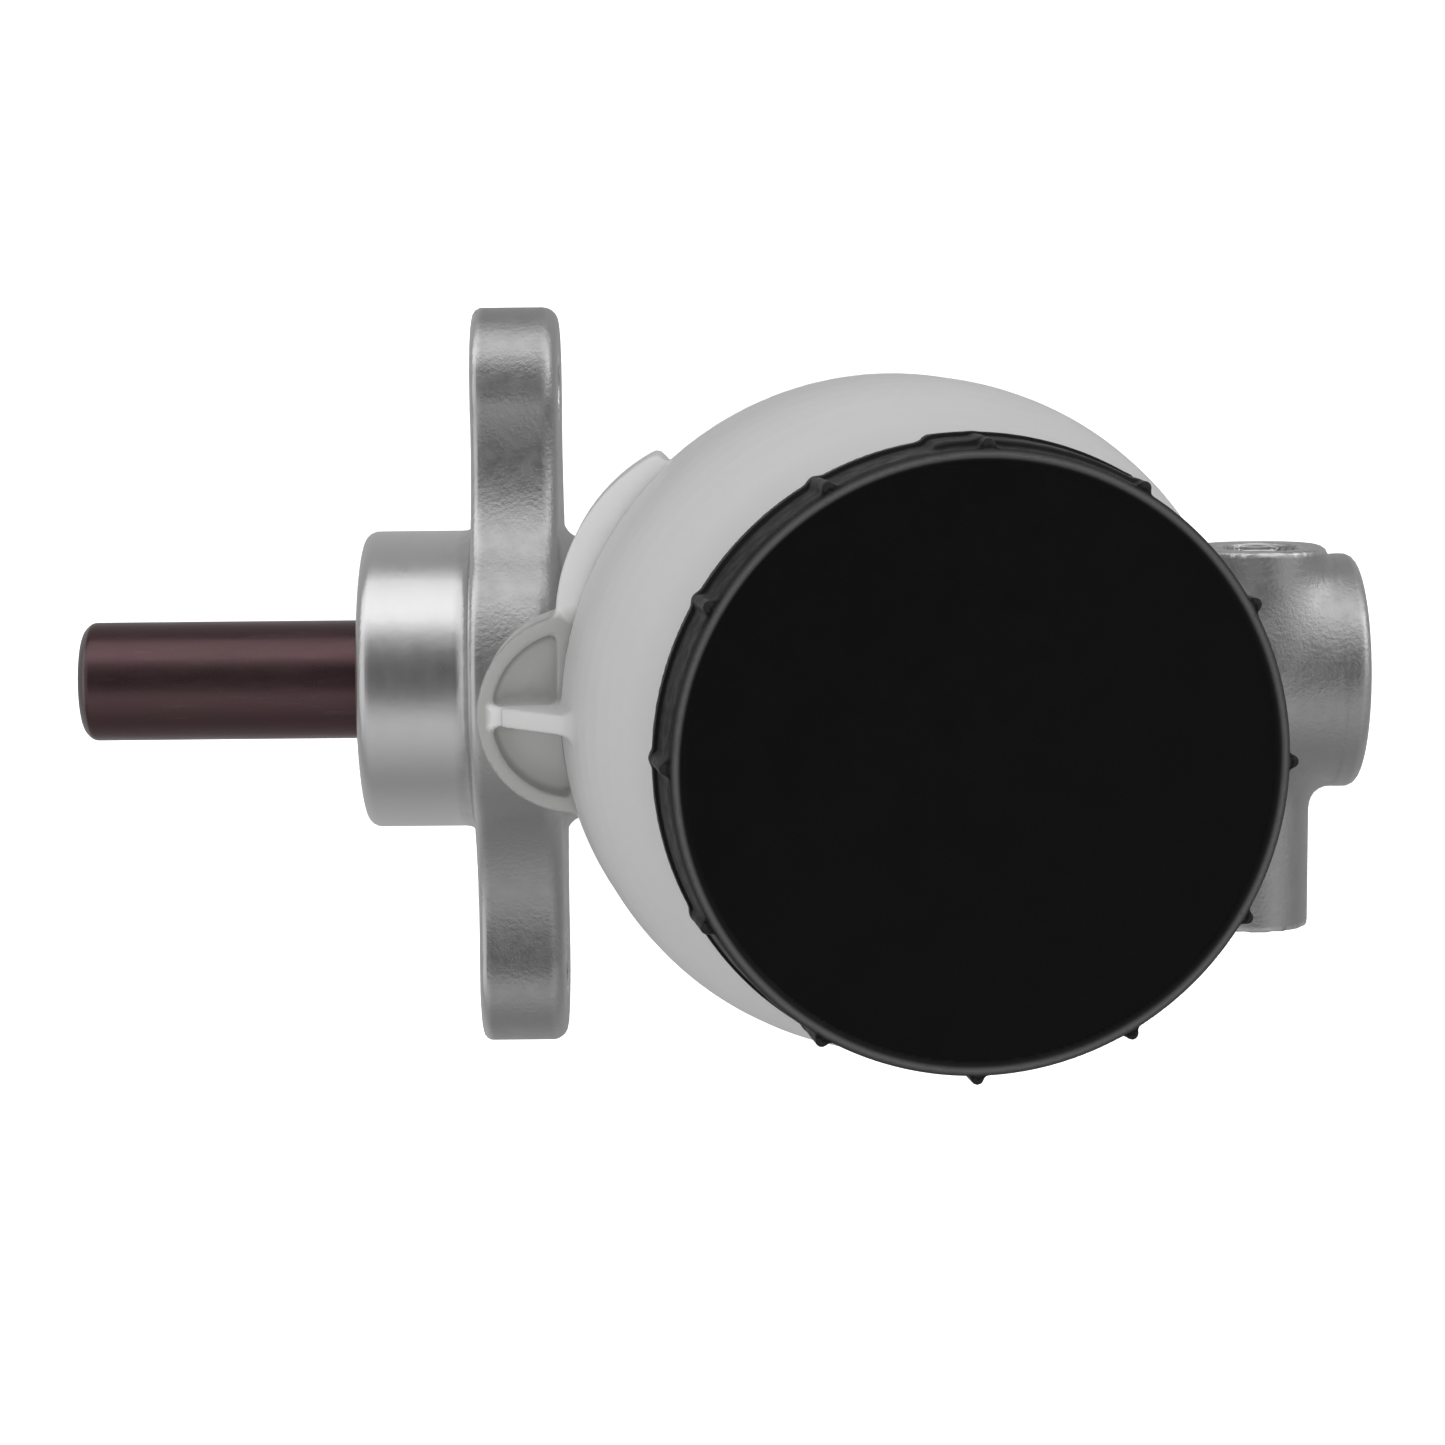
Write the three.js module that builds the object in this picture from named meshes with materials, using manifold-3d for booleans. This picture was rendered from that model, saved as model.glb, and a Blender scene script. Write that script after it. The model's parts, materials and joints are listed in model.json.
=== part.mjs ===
// Tandem brake master cylinder with a screw-capped fluid reservoir.
// Millimetres, +Z up. The bore lies along X, its origin on the flange face that meets the booster:
// the piston rod points to -X, the closed end of the cylinder to +X.

import * as THREE from 'three';
import { mergeVertices } from 'three/addons/utils/BufferGeometryUtils.js';
import Module from 'manifold-3d';

const wasm = await Module();
wasm.setup();

// ---------------------------------------------------------------- driving dimensions

const GAP = 0.3; // running and assembly clearance between pieces

const SPIGOT = { radius: 23, length: 17.2, edge: 2 };
const FLANGE = { thickness: 13.2, studSpacing: 90, studHoleRadius: 4.4, earRadius: 12.35, discRadius: 27 };
const FLANGE_HOLLOW = 25; // radius of the hollows between the ears and the centre disc
const BARREL = { rootRadius: 21.5, radius: 18.15, end: 136.1, edge: 1.6 };
const BORE = { radius: 12.7, step: 114, springRadius: 9, end: 132 };
const GUIDE_POCKET = { radius: 16, depth: 13.2 };
const GUIDE = { rear: -14.2, ringRear: -11, ringFront: -8.2, step: -9.6, front: -4.3, sealPocket: 12.6 };
const CLIP_GROOVE = { radius: 17.3, from: -16.5, to: -14.5 };
const CLIP = { rear: -16.1, thickness: 1.2, inner: 14.4, halfGap: 16 };
const CLIP_EYE = { at: 14.1, radius: 2.1, hole: 0.9 };

const INLET = { bossRadius: 11.5, top: 26, pocketRadius: 8.2, floor: 17.5 };
const PRIMARY = { inlet: 32.6, feed: 28.5, vent: 36.8 };
const SECONDARY = { inlet: 92.4, feed: 87.5, vent: 97.5 };

const OUTLET = { x: 120.7, threadRadius: 5.1, seatRadius: 3.4, drillRadius: 1.6, depth: 7.5, seatDepth: 2 };
const UPPER_OUTLET = { face: 19.7, radius: 9.8, height: 6 };
const LOWER_OUTLET = { face: 40, radius: 8.8 };
const PRIMARY_OUTLET = { x: 61, face: 32, radius: 8.8 };

const ROD = { radius: 9.2, end: -61.3, edge: 1.1, socketRadius: 5.5, socketDepth: 14 };
const PISTON_RADIUS = BORE.radius - GAP;
const CUP_ROOT = 9.6; // radius at the bottom of a seal groove
const WAIST_RADIUS = 7.5;
const PRIMARY_SPRING = { radius: 6.1, wire: 1, from: 38, to: 68.1, turns: 6 };
const SECONDARY_SPRING = { radius: 7.2, wire: 1.1, from: 99.2, to: 131.6, turns: 6 };
const STOP_BOLT = { x: 88, seat: 22, tipRadius: 2.5, shankRadius: 3.9, headAcross: 10, headHeight: 5 };
const STOP_WASHER = { radius: 6.6, thickness: 1 };

const RESERVOIR = { x: 56.6, tilt: THREE.MathUtils.degToRad(8), wall: 2.2, seam: 40, floor: 29 };
const BOTTLE_RADIUS = 47.9;
const WELL = { x: 61, radius: 45.2 }; // round bottom of the reservoir
// The square rear corner of the reservoir's bottom, on the +Y side; its arc ends at an angle in degrees.
const TRAY = { rear: 13.8, side: 13.8, corner: 26.4, end: 118, endWall: 5 };
const LOBE = { x: 17, radius: 14.3, bottom: 31 }; // round dish behind the well
const NIPPLE = { radius: 4.6, bore: 3, end: 19 };
const GUSSET = 2.8; // thickness of the rib across the dish and up the bottle
const NECK = { radius: 36.4, bore: 32.8, ledge: 96.1, rim: 98.2 };
const CAP = { skirt: 90.4, top: 102.4, radius: 41.2, topRadius: 40.4, bore: 39.1, roof: 100, ribs: 12 };
const THREAD = { lead: 8, starts: 2, turns: 0.66, ridge: 1.15, bottom: 91.8 };
const THREAD_RADIUS = { neck: 37, cap: 38.5 };
const PIN = { x: 62.5, z: 24.5, radius: 1.9, halfLength: 10.5, lugHalf: 5, earThickness: 3.4 };

const WIDE = 32; // sides of the bottle and its cap
const ROUND = 24; // sides of the cylinder
const INNER = 16; // sides of what runs in the bore
const SMALL = 14; // sides of bosses, holes and pins

// ---------------------------------------------------------------- finishes

const finish = (color, roughness, metalness) => () =>
  new THREE.MeshStandardMaterial({ color, roughness, metalness });

const castAluminium = finish(0xa9aaab, 0.45, 0.9);
const anodised = finish(0x38262a, 0.38, 0.7);
const springSteel = finish(0x6c6f73, 0.35, 1);
const copper = finish(0xb06f45, 0.4, 1);
const blackRubber = finish(0x18181a, 0.75, 0);
const whiteNylon = finish(0xe4e2d8, 0.55, 0);
const milkyPlastic = finish(0xd3d4d2, 0.42, 0);
const blackPlastic = finish(0x17181a, 0.5, 0);

// ---------------------------------------------------------------- solids

// Welds a geometry's shared points and drops the triangles that a pole squeezes to a line.
function weld(geometry) {
  const bare = geometry.clone();
  bare.deleteAttribute('normal');
  bare.deleteAttribute('uv');
  const merged = mergeVertices(bare);
  const kept = [];
  const index = merged.getIndex().array;
  for (let i = 0; i < index.length; i += 3) {
    const [a, b, c] = [index[i], index[i + 1], index[i + 2]];
    if (a !== b && b !== c && c !== a) kept.push(a, b, c);
  }
  merged.setIndex(kept);
  return merged;
}

function signedVolume(geometry) {
  const points = geometry.getAttribute('position');
  const index = geometry.getIndex().array;
  const [a, b, c] = [new THREE.Vector3(), new THREE.Vector3(), new THREE.Vector3()];
  let sum = 0;
  for (let i = 0; i < index.length; i += 3) {
    a.fromBufferAttribute(points, index[i]);
    b.fromBufferAttribute(points, index[i + 1]);
    c.fromBufferAttribute(points, index[i + 2]);
    sum += a.dot(b.cross(c)) / 6;
  }
  return sum;
}

function solid(geometry) {
  const welded = weld(geometry);
  const index = Array.from(welded.getIndex().array);
  if (signedVolume(welded) < 0) index.reverse();
  const mesh = new wasm.Mesh({
    numProp: 3,
    vertProperties: Float32Array.from(welded.getAttribute('position').array),
    triVerts: Uint32Array.from(index),
  });
  return new wasm.Manifold(mesh);
}

const join = (first, ...rest) => rest.reduce((sum, next) => sum.add(next), first);
const cut = (first, ...tools) => tools.reduce((sum, next) => sum.subtract(next), first);

function piece(name, body, material) {
  const { vertProperties, triVerts } = body.getMesh();
  const geometry = new THREE.BufferGeometry();
  geometry.setAttribute('position', new THREE.BufferAttribute(vertProperties, 3));
  geometry.setIndex(new THREE.BufferAttribute(triVerts, 1));
  geometry.computeVertexNormals();
  const mesh = new THREE.Mesh(geometry, material());
  mesh.name = name;
  return mesh;
}

// ---------------------------------------------------------------- shapes

const ontoAxis = {
  x: (geometry) => geometry.rotateZ(-Math.PI / 2),
  y: (geometry) => geometry,
  z: (geometry) => geometry.rotateX(Math.PI / 2),
};

// A solid of revolution about an axis, from points [radius, distance along the axis].
function revolve(axis, profile, sides = ROUND) {
  const points = profile.map(([radius, along]) => new THREE.Vector2(radius, along));
  return solid(ontoAxis[axis](new THREE.LatheGeometry(points, sides)));
}

function rod(axis, radius, from, to, sides = SMALL) {
  return revolve(axis, [[0, from], [radius, from], [radius, to], [0, to]], sides);
}

function bevelledRod(axis, radius, from, to, bevel, sides = SMALL) {
  const inner = to - Math.sign(to - from) * bevel;
  return revolve(axis, [[0, from], [radius, from], [radius, inner], [radius - bevel, to], [0, to]], sides);
}

function ring(axis, inner, outer, from, to, sides = INNER) {
  return revolve(axis, [[inner, from], [outer, from], [outer, to], [inner, to], [inner, from]], sides);
}

function box(xs, ys, zs) {
  const geometry = new THREE.BoxGeometry(xs[1] - xs[0], ys[1] - ys[0], zs[1] - zs[0]);
  return solid(geometry.translate((xs[0] + xs[1]) / 2, (ys[0] + ys[1]) / 2, (zs[0] + zs[1]) / 2));
}

// Quarter of a circle from a side wall into an end face, as points of a revolved profile.
function roundedEdge(radius, along, edge, direction, steps = 4) {
  const points = [];
  for (let i = 0; i <= steps; i += 1) {
    const angle = (i / steps) * (Math.PI / 2);
    points.push([
      radius - edge + edge * Math.cos(angle),
      along - direction * edge + direction * edge * Math.sin(angle),
    ]);
  }
  return points;
}

class Helix extends THREE.Curve {
  constructor({ radius, lead, turns, startAngle = 0, startHeight = 0 }) {
    super();
    Object.assign(this, { radius, lead, turns, startAngle, startHeight });
  }

  getPoint(t, target = new THREE.Vector3()) {
    const angle = t * this.turns * 2 * Math.PI;
    const turned = angle + this.startAngle;
    return target.set(
      this.radius * Math.cos(turned),
      this.radius * Math.sin(turned),
      this.startHeight + (this.lead * angle) / (2 * Math.PI),
    );
  }
}

function sweepAlong(curve, radius, steps, sides = 5) {
  const section = new THREE.Shape();
  for (let i = 0; i < sides; i += 1) {
    const angle = (i / sides) * 2 * Math.PI;
    const point = [radius * Math.cos(angle), radius * Math.sin(angle)];
    if (i === 0) section.moveTo(...point);
    else section.lineTo(...point);
  }
  section.closePath();
  return new THREE.ExtrudeGeometry(section, { steps, extrudePath: curve, curveSegments: 1 });
}

function coilSpring({ radius, wire, from, to, turns }) {
  const stepsPerTurn = 10;
  const start = from + wire;
  const lead = (to - from - 2 * wire) / turns;
  const curve = new Helix({ radius, lead, turns, startHeight: start });
  const wound = sweepAlong(curve, wire, turns * stepsPerTurn);
  return solid(wound.rotateY(Math.PI / 2));
}

// ---------------------------------------------------------------- cylinder body

// Outline of the two-eared flange in its own plane: ears, centre disc and the hollows between them.
function flangeOutline() {
  const reach = FLANGE.studSpacing / 2;
  const toDisc = FLANGE.discRadius + FLANGE_HOLLOW;
  const toEar = FLANGE.earRadius + FLANGE_HOLLOW;
  const hollowX = (toDisc ** 2 - toEar ** 2 + reach ** 2) / (2 * reach);
  const hollowY = Math.sqrt(toDisc ** 2 - hollowX ** 2);
  const earAngle = Math.atan2(hollowY, hollowX - reach);
  const discAngle = Math.atan2(hollowY, hollowX);
  const outline = new THREE.Shape();
  for (const side of [1, -1]) {
    const turn = side > 0 ? 0 : Math.PI;
    outline.absarc(side * reach, 0, FLANGE.earRadius, turn - earAngle, turn + earAngle, false);
    outline.absarc(side * hollowX, side * hollowY, FLANGE_HOLLOW,
      turn + earAngle - Math.PI, turn + discAngle - Math.PI, true);
    outline.absarc(0, 0, FLANGE.discRadius, turn + discAngle, turn + Math.PI - discAngle, false);
    outline.absarc(-side * hollowX, side * hollowY, FLANGE_HOLLOW,
      turn - discAngle, turn - earAngle, true);
  }
  return outline;
}

function flange() {
  const bevel = 1.6;
  const geometry = new THREE.ExtrudeGeometry(flangeOutline(), {
    depth: FLANGE.thickness - 2 * bevel,
    bevelEnabled: true,
    bevelThickness: bevel,
    bevelSize: bevel,
    bevelOffset: -bevel,
    bevelSegments: 1,
    curveSegments: 6,
  });
  geometry.translate(0, 0, bevel);
  const alongX = new THREE.Matrix4().makeBasis(
    new THREE.Vector3(0, 1, 0),
    new THREE.Vector3(0, 0, 1),
    new THREE.Vector3(1, 0, 0),
  );
  return solid(geometry.applyMatrix4(alongX));
}

function barrel() {
  const root = FLANGE.thickness;
  return revolve('x', [
    [0, -SPIGOT.length],
    ...roundedEdge(SPIGOT.radius, -SPIGOT.length, SPIGOT.edge, -1).reverse(),
    [SPIGOT.radius, root / 2],
    [BARREL.rootRadius + 3.5, root - 1],
    [BARREL.rootRadius + 1, root + 1.6],
    [BARREL.rootRadius, root + 5],
    [BARREL.rootRadius, 46],
    [BARREL.radius + 1, 62],
    [BARREL.radius, 104],
    ...roundedEdge(BARREL.radius, BARREL.end, BARREL.edge, 1),
    [0, BARREL.end],
  ]);
}

function boreCut() {
  const mouth = -SPIGOT.length;
  const shoulder = mouth + GUIDE_POCKET.depth;
  return revolve('x', [
    [0, mouth - 1],
    [GUIDE_POCKET.radius + 0.8, mouth - 1],
    [GUIDE_POCKET.radius + 0.8, mouth],
    [GUIDE_POCKET.radius, mouth + 0.6],
    [GUIDE_POCKET.radius, CLIP_GROOVE.from],
    [CLIP_GROOVE.radius, CLIP_GROOVE.from],
    [CLIP_GROOVE.radius, CLIP_GROOVE.to],
    [GUIDE_POCKET.radius, CLIP_GROOVE.to],
    [GUIDE_POCKET.radius, shoulder],
    [BORE.radius, shoulder],
    [BORE.radius, BORE.step],
    [BORE.springRadius, BORE.step + 1.5],
    [BORE.springRadius, BORE.end],
    [0, BORE.end],
  ]);
}

function inletCut({ inlet, feed, vent }) {
  return join(
    rod('z', INLET.pocketRadius, INLET.floor, INLET.top + 1).translate(inlet, 0, 0),
    rod('z', 2, BORE.radius - 1, INLET.floor + 1, 12).translate(feed, 0, 0),
    rod('z', 0.7, BORE.radius - 1, INLET.floor + 1, 8).translate(vent, 0, 0),
  );
}

// A threaded outlet with a stepped seat and a drilling into the bore; side is +1 for +Y, -1 for -Y.
function outletCut(side, face, boreRadius) {
  const floor = face - OUTLET.depth;
  const seatFloor = floor - OUTLET.seatDepth;
  return join(
    rod('y', OUTLET.threadRadius, side * floor, side * (face + 1)),
    rod('y', OUTLET.seatRadius, side * seatFloor, side * (floor + 1)),
    rod('y', OUTLET.drillRadius, side * (boreRadius - 1), side * (seatFloor + 1), 12),
  );
}

function outletBoss(side, { face, radius }) {
  return bevelledRod('y', radius, side * 4, side * face, 1, 24);
}

function cylinderBody() {
  const studY = FLANGE.studSpacing / 2;
  const outside = join(
    barrel(),
    flange(),
    rod('z', INLET.bossRadius, 0, INLET.top, 24).translate(PRIMARY.inlet, 0, 0),
    rod('z', INLET.bossRadius, 0, INLET.top, 24).translate(SECONDARY.inlet, 0, 0),
    box([PIN.x - 6, PIN.x + 6], [-PIN.lugHalf, PIN.lugHalf], [14, INLET.top + 2.2]),
    outletBoss(1, UPPER_OUTLET).translate(OUTLET.x, 0, UPPER_OUTLET.height),
    outletBoss(-1, LOWER_OUTLET).translate(OUTLET.x, 0, 0),
    outletBoss(-1, PRIMARY_OUTLET).translate(PRIMARY_OUTLET.x, 0, 0),
    rod('z', 7.5, -STOP_BOLT.seat, -10).translate(STOP_BOLT.x, 0, 0),
  );
  const inside = join(
    boreCut(),
    inletCut(PRIMARY),
    inletCut(SECONDARY),
    outletCut(1, UPPER_OUTLET.face, BORE.springRadius / 2).translate(OUTLET.x, 0, UPPER_OUTLET.height),
    outletCut(-1, LOWER_OUTLET.face, BORE.springRadius).translate(OUTLET.x, 0, 0),
    outletCut(-1, PRIMARY_OUTLET.face, BORE.radius).translate(PRIMARY_OUTLET.x, 0, 0),
    rod('x', FLANGE.studHoleRadius, -1, FLANGE.thickness + 1).translate(0, studY, 0),
    rod('x', FLANGE.studHoleRadius, -1, FLANGE.thickness + 1).translate(0, -studY, 0),
    rod('y', PIN.radius + GAP, -PIN.lugHalf - 1, PIN.lugHalf + 1, 16).translate(PIN.x, 0, PIN.z),
    rod('z', STOP_BOLT.shankRadius + GAP, -STOP_BOLT.seat - 1, -15.5, 16).translate(STOP_BOLT.x, 0, 0),
    rod('z', STOP_BOLT.tipRadius + 0.4, -16, -BORE.radius + 1, 16).translate(STOP_BOLT.x, 0, 0),
  );
  return piece('cylinder_body', cut(outside, inside), castAluminium);
}

// Conical seat for a flared pipe at the bottom of an outlet.
function flareSeat(name, side, x, face, height = 0) {
  const floor = face - OUTLET.depth - OUTLET.seatDepth + GAP;
  const radius = OUTLET.seatRadius - GAP;
  const bore = OUTLET.drillRadius;
  const body = revolve('y', [
    [bore, side * floor],
    [radius, side * floor],
    [radius, side * (floor + 2)],
    [bore + 0.4, side * (floor + 4.2)],
    [bore, side * (floor + 4.2)],
    [bore, side * floor],
  ], 16);
  return piece(name, body.translate(x, 0, height), springSteel);
}

function stopBolt() {
  const { seat, headHeight } = STOP_BOLT;
  const head = new THREE.CylinderGeometry(1, 1, headHeight, 6);
  const corner = STOP_BOLT.headAcross / Math.sqrt(3);
  const top = seat + STOP_WASHER.thickness + 2 * GAP;
  head.scale(corner, 1, corner).rotateX(Math.PI / 2).translate(0, 0, -top - headHeight / 2);
  const body = join(
    solid(head),
    rod('z', STOP_BOLT.shankRadius, -seat - 2, -16, 16),
    rod('z', STOP_BOLT.tipRadius, -17, -WAIST_RADIUS - 0.8, 16),
  );
  return piece('stop_bolt', body.translate(STOP_BOLT.x, 0, 0), springSteel);
}

function stopBoltWasher() {
  const top = -STOP_BOLT.seat - GAP;
  const bottom = top - STOP_WASHER.thickness;
  const washer = ring('z', STOP_BOLT.shankRadius + GAP, STOP_WASHER.radius, bottom, top);
  return piece('stop_bolt_washer', washer.translate(STOP_BOLT.x, 0, 0), copper);
}

// ---------------------------------------------------------------- rear guide of the piston rod

function pistonGuide() {
  const outer = GUIDE_POCKET.radius - GAP;
  const inner = ROD.radius + GAP;
  const body = revolve('x', [
    [inner, GUIDE.rear],
    [outer, GUIDE.rear],
    [outer, GUIDE.ringRear],
    [outer - 2, GUIDE.ringRear],
    [outer - 2, GUIDE.ringFront],
    [outer, GUIDE.ringFront],
    [outer, GUIDE.front],
    [GUIDE.sealPocket, GUIDE.front],
    [GUIDE.sealPocket, GUIDE.step],
    [inner, GUIDE.step],
    [inner, GUIDE.rear],
  ], ROUND);
  return piece('piston_guide', body, whiteNylon);
}

function guideSeal() {
  const body = revolve('x', [
    [ROD.radius + GAP, -9.2],
    [12.3, -9.2],
    [12.3, -4.6],
    [11.4, -4.6],
    [11, -7.2],
    [10.3, -4.9],
    [ROD.radius + GAP, -5],
    [ROD.radius + GAP, -9.2],
  ], INNER);
  return piece('guide_seal', body, blackRubber);
}

function guideRing() {
  const section = 0.75;
  const middle = GUIDE_POCKET.radius - 1.2;
  const torus = new THREE.TorusGeometry(middle, section, 6, ROUND);
  const along = (GUIDE.ringRear + GUIDE.ringFront) / 2;
  return piece('guide_o_ring', solid(torus.rotateY(Math.PI / 2)).translate(along, 0, 0), blackRubber);
}

function circlip() {
  const { thickness } = CLIP;
  const outer = CLIP_GROOVE.radius - GAP;
  const halfGap = THREE.MathUtils.degToRad(CLIP.halfGap);
  const start = -Math.PI / 2 + halfGap;
  const end = (3 * Math.PI) / 2 - halfGap;
  const outline = new THREE.Shape();
  outline.absarc(0, 0, outer, start, end, false);
  outline.absarc(0, 0, CLIP.inner, end, start, true);
  outline.closePath();
  const settings = { depth: thickness, bevelEnabled: false, curveSegments: 16 };
  const band = new THREE.ExtrudeGeometry(outline, settings);
  const eyes = [];
  const holes = [];
  for (const angle of [start, end]) {
    const at = [CLIP_EYE.at * Math.cos(angle), CLIP_EYE.at * Math.sin(angle), 0];
    eyes.push(rod('z', CLIP_EYE.radius, 0, thickness, 14).translate(...at));
    holes.push(rod('z', CLIP_EYE.hole, -1, thickness + 1, 10).translate(...at));
  }
  const flat = cut(join(solid(band), ...eyes), ...holes);
  return piece('circlip', flat.rotate(0, 90, 0).translate(CLIP.rear, 0, 0), springSteel);
}

// ---------------------------------------------------------------- primary piston group

function primaryPiston() {
  const land = PISTON_RADIUS;
  const body = revolve('x', [
    [0, ROD.end + ROD.socketDepth + 2.5],
    [ROD.socketRadius, ROD.end + ROD.socketDepth],
    [ROD.socketRadius, ROD.end + 0.8],
    [ROD.socketRadius + 0.8, ROD.end],
    [ROD.radius - ROD.edge, ROD.end],
    [ROD.radius, ROD.end + ROD.edge],
    [ROD.radius, -3],
    [land, -3],
    [land, -1.8],
    [CUP_ROOT, -1.8],
    [CUP_ROOT, 1.9],
    [land, 1.9],
    [land, 3],
    [WAIST_RADIUS, 4.5],
    [WAIST_RADIUS, 28.8],
    [land, 30],
    [land, 31.4],
    [CUP_ROOT - 2, 31.4],
    [CUP_ROOT - 2, 36.5],
    [4.6, 36.5],
    [4.6, 39],
    [2, 39],
    [2, 29],
    [0, 29],
  ], INNER);
  return piece('primary_piston', body, anodised);
}

// A lip seal: a flat heel against the piston land and a flared lip towards the pressure side.
function cupSeal(name, from, to, inner) {
  const outer = BORE.radius - GAP;
  const depth = to - from;
  const body = revolve('x', [
    [inner, from],
    [outer - 0.5, from],
    [outer, to],
    [outer - 0.9, to],
    [(inner + outer) / 2 + 0.3, from + depth * 0.42],
    [(inner + outer) / 2 - 0.4, from + depth * 0.42],
    [inner + 0.9, to - depth * 0.2],
    [inner, to - depth * 0.2],
    [inner, from],
  ], INNER);
  return piece(name, body, blackRubber);
}

function primaryGroup() {
  const nose = CUP_ROOT - 2 + GAP;
  const seat = revolve('x', [
    [4.9, 36.8],
    [10.6, 36.8],
    [10.6, 37.7],
    [8.4, 37.7],
    [8.2, 39.1],
    [7.5, 39.1],
    [7.5, 37.7],
    [4.9, 37.7],
    [4.9, 36.8],
  ], INNER);
  const screw = join(rod('x', 1.7, 30, 54, 12), bevelledRod('x', 3.3, 53, 54.8, 0.5, 16));
  return [
    primaryPiston(),
    cupSeal('primary_rear_seal', -1.5, 1.6, CUP_ROOT + GAP),
    piece('primary_cup_washer', ring('x', nose, 11.6, 31.7, 32.1), springSteel),
    cupSeal('primary_cup', 32.4, 36.5, nose),
    piece('primary_spring_seat', seat, springSteel),
    piece('primary_spring', coilSpring(PRIMARY_SPRING), springSteel),
    piece('spring_screw', screw, springSteel),
  ];
}

// ---------------------------------------------------------------- secondary piston group

function secondaryPiston() {
  const land = PISTON_RADIUS;
  const body = revolve('x', [
    [0, 70],
    [WAIST_RADIUS, 70],
    [WAIST_RADIUS, 52.6],
    [WAIST_RADIUS + 0.6, 52],
    [land - 0.8, 52],
    [land - 0.4, 52.6],
    [land - 0.4, 60.5],
    [land, 60.5],
    [land, 61.8],
    [CUP_ROOT, 61.8],
    [CUP_ROOT, 65.8],
    [land, 65.8],
    [land, 67],
    [CUP_ROOT, 67],
    [CUP_ROOT, 71],
    [land, 71],
    [land, 72.2],
    [WAIST_RADIUS, 73],
    [WAIST_RADIUS, 91],
    [land, 91],
    [land, 92.6],
    [CUP_ROOT - 2, 92.6],
    [CUP_ROOT - 2, 97.5],
    [5.4, 97.5],
    [5.4, 101],
    [4.6, 102],
    [0, 102],
  ], INNER);
  return piece('secondary_piston', body, anodised);
}

function secondaryGroup() {
  const nose = CUP_ROOT - 2 + GAP;
  const seat = ring('x', 5.7, 10.6, 97.8, 98.8);
  const sleeve = revolve('x', [
    [2.1, 51.5],
    [4.2, 51.5],
    [4.6, 52],
    [4.6, 68.4],
    [7.1, 68.4],
    [7.1, 69.6],
    [3.7, 69.6],
    [3.7, 52.7],
    [2.1, 52.7],
    [2.1, 51.5],
  ], INNER);
  return [
    secondaryPiston(),
    cupSeal('pressure_seal_rear', 65.5, 62.1, CUP_ROOT + GAP),
    cupSeal('pressure_seal_front', 67.3, 70.7, CUP_ROOT + GAP),
    piece('secondary_cup_washer', ring('x', nose, 11.6, 92.9, 93.3), springSteel),
    cupSeal('secondary_cup', 93.6, 97.5, nose),
    piece('secondary_spring_seat', seat, springSteel),
    piece('secondary_spring', coilSpring(SECONDARY_SPRING), springSteel),
    piece('primary_spring_retainer', sleeve, springSteel),
  ];
}

// ---------------------------------------------------------------- reservoir

// Outline of the tray: a wedge from the well's centre that ends in a straight rear wall and a round corner.
function trayOutline(inset, endAngle) {
  const outline = new THREE.Shape();
  const end = THREE.MathUtils.degToRad(endAngle);
  outline.moveTo(WELL.x, inset);
  outline.lineTo(TRAY.rear + inset, inset);
  outline.absarc(TRAY.rear + TRAY.corner, TRAY.side, TRAY.corner - inset, Math.PI, end, true);
  outline.closePath();
  return outline;
}

function prism(outline, bottom, top) {
  const geometry = new THREE.ExtrudeGeometry(outline, {
    depth: top - bottom,
    bevelEnabled: false,
    curveSegments: 7,
  });
  return solid(geometry.translate(0, 0, bottom));
}

// Puts a solid that was made about the bottle's own upright axis where the tilted bottle stands.
function tilted(body) {
  return body.rotate(0, THREE.MathUtils.radToDeg(RESERVOIR.tilt), 0).translate(RESERVOIR.x, 0, 0);
}

// Cuts a solid off at a height on the tilted bottle's axis.
function cutOff(body, height) {
  const above = new THREE.BoxGeometry(300, 200, 100).translate(0, 0, height + 50);
  return cut(body, tilted(solid(above)));
}

function well(inset, bottom, top) {
  return join(
    prism(trayOutline(inset, TRAY.end + (inset > 0 ? TRAY.endWall : 0)), bottom, top),
    rod('z', WELL.radius - inset, bottom, top, WIDE).translate(WELL.x, 0, 0),
  );
}

// Open dish with a rib across it, behind the well and over the flange.
function rearDish(wall) {
  const floor = LOBE.bottom + wall;
  const outside = rod('z', LOBE.radius, LOBE.bottom, 60, 24).translate(LOBE.x, 0, 0);
  const hollow = rod('z', LOBE.radius - wall, floor, 60, 24).translate(LOBE.x, 0, 0);
  const ribEnds = [LOBE.x - LOBE.radius + 1, WELL.x - WELL.radius + 1];
  const rib = box(ribEnds, [-GUSSET / 2, GUSSET / 2], [floor - 1, 60]);
  return join(cut(outside, hollow), rib);
}

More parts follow.
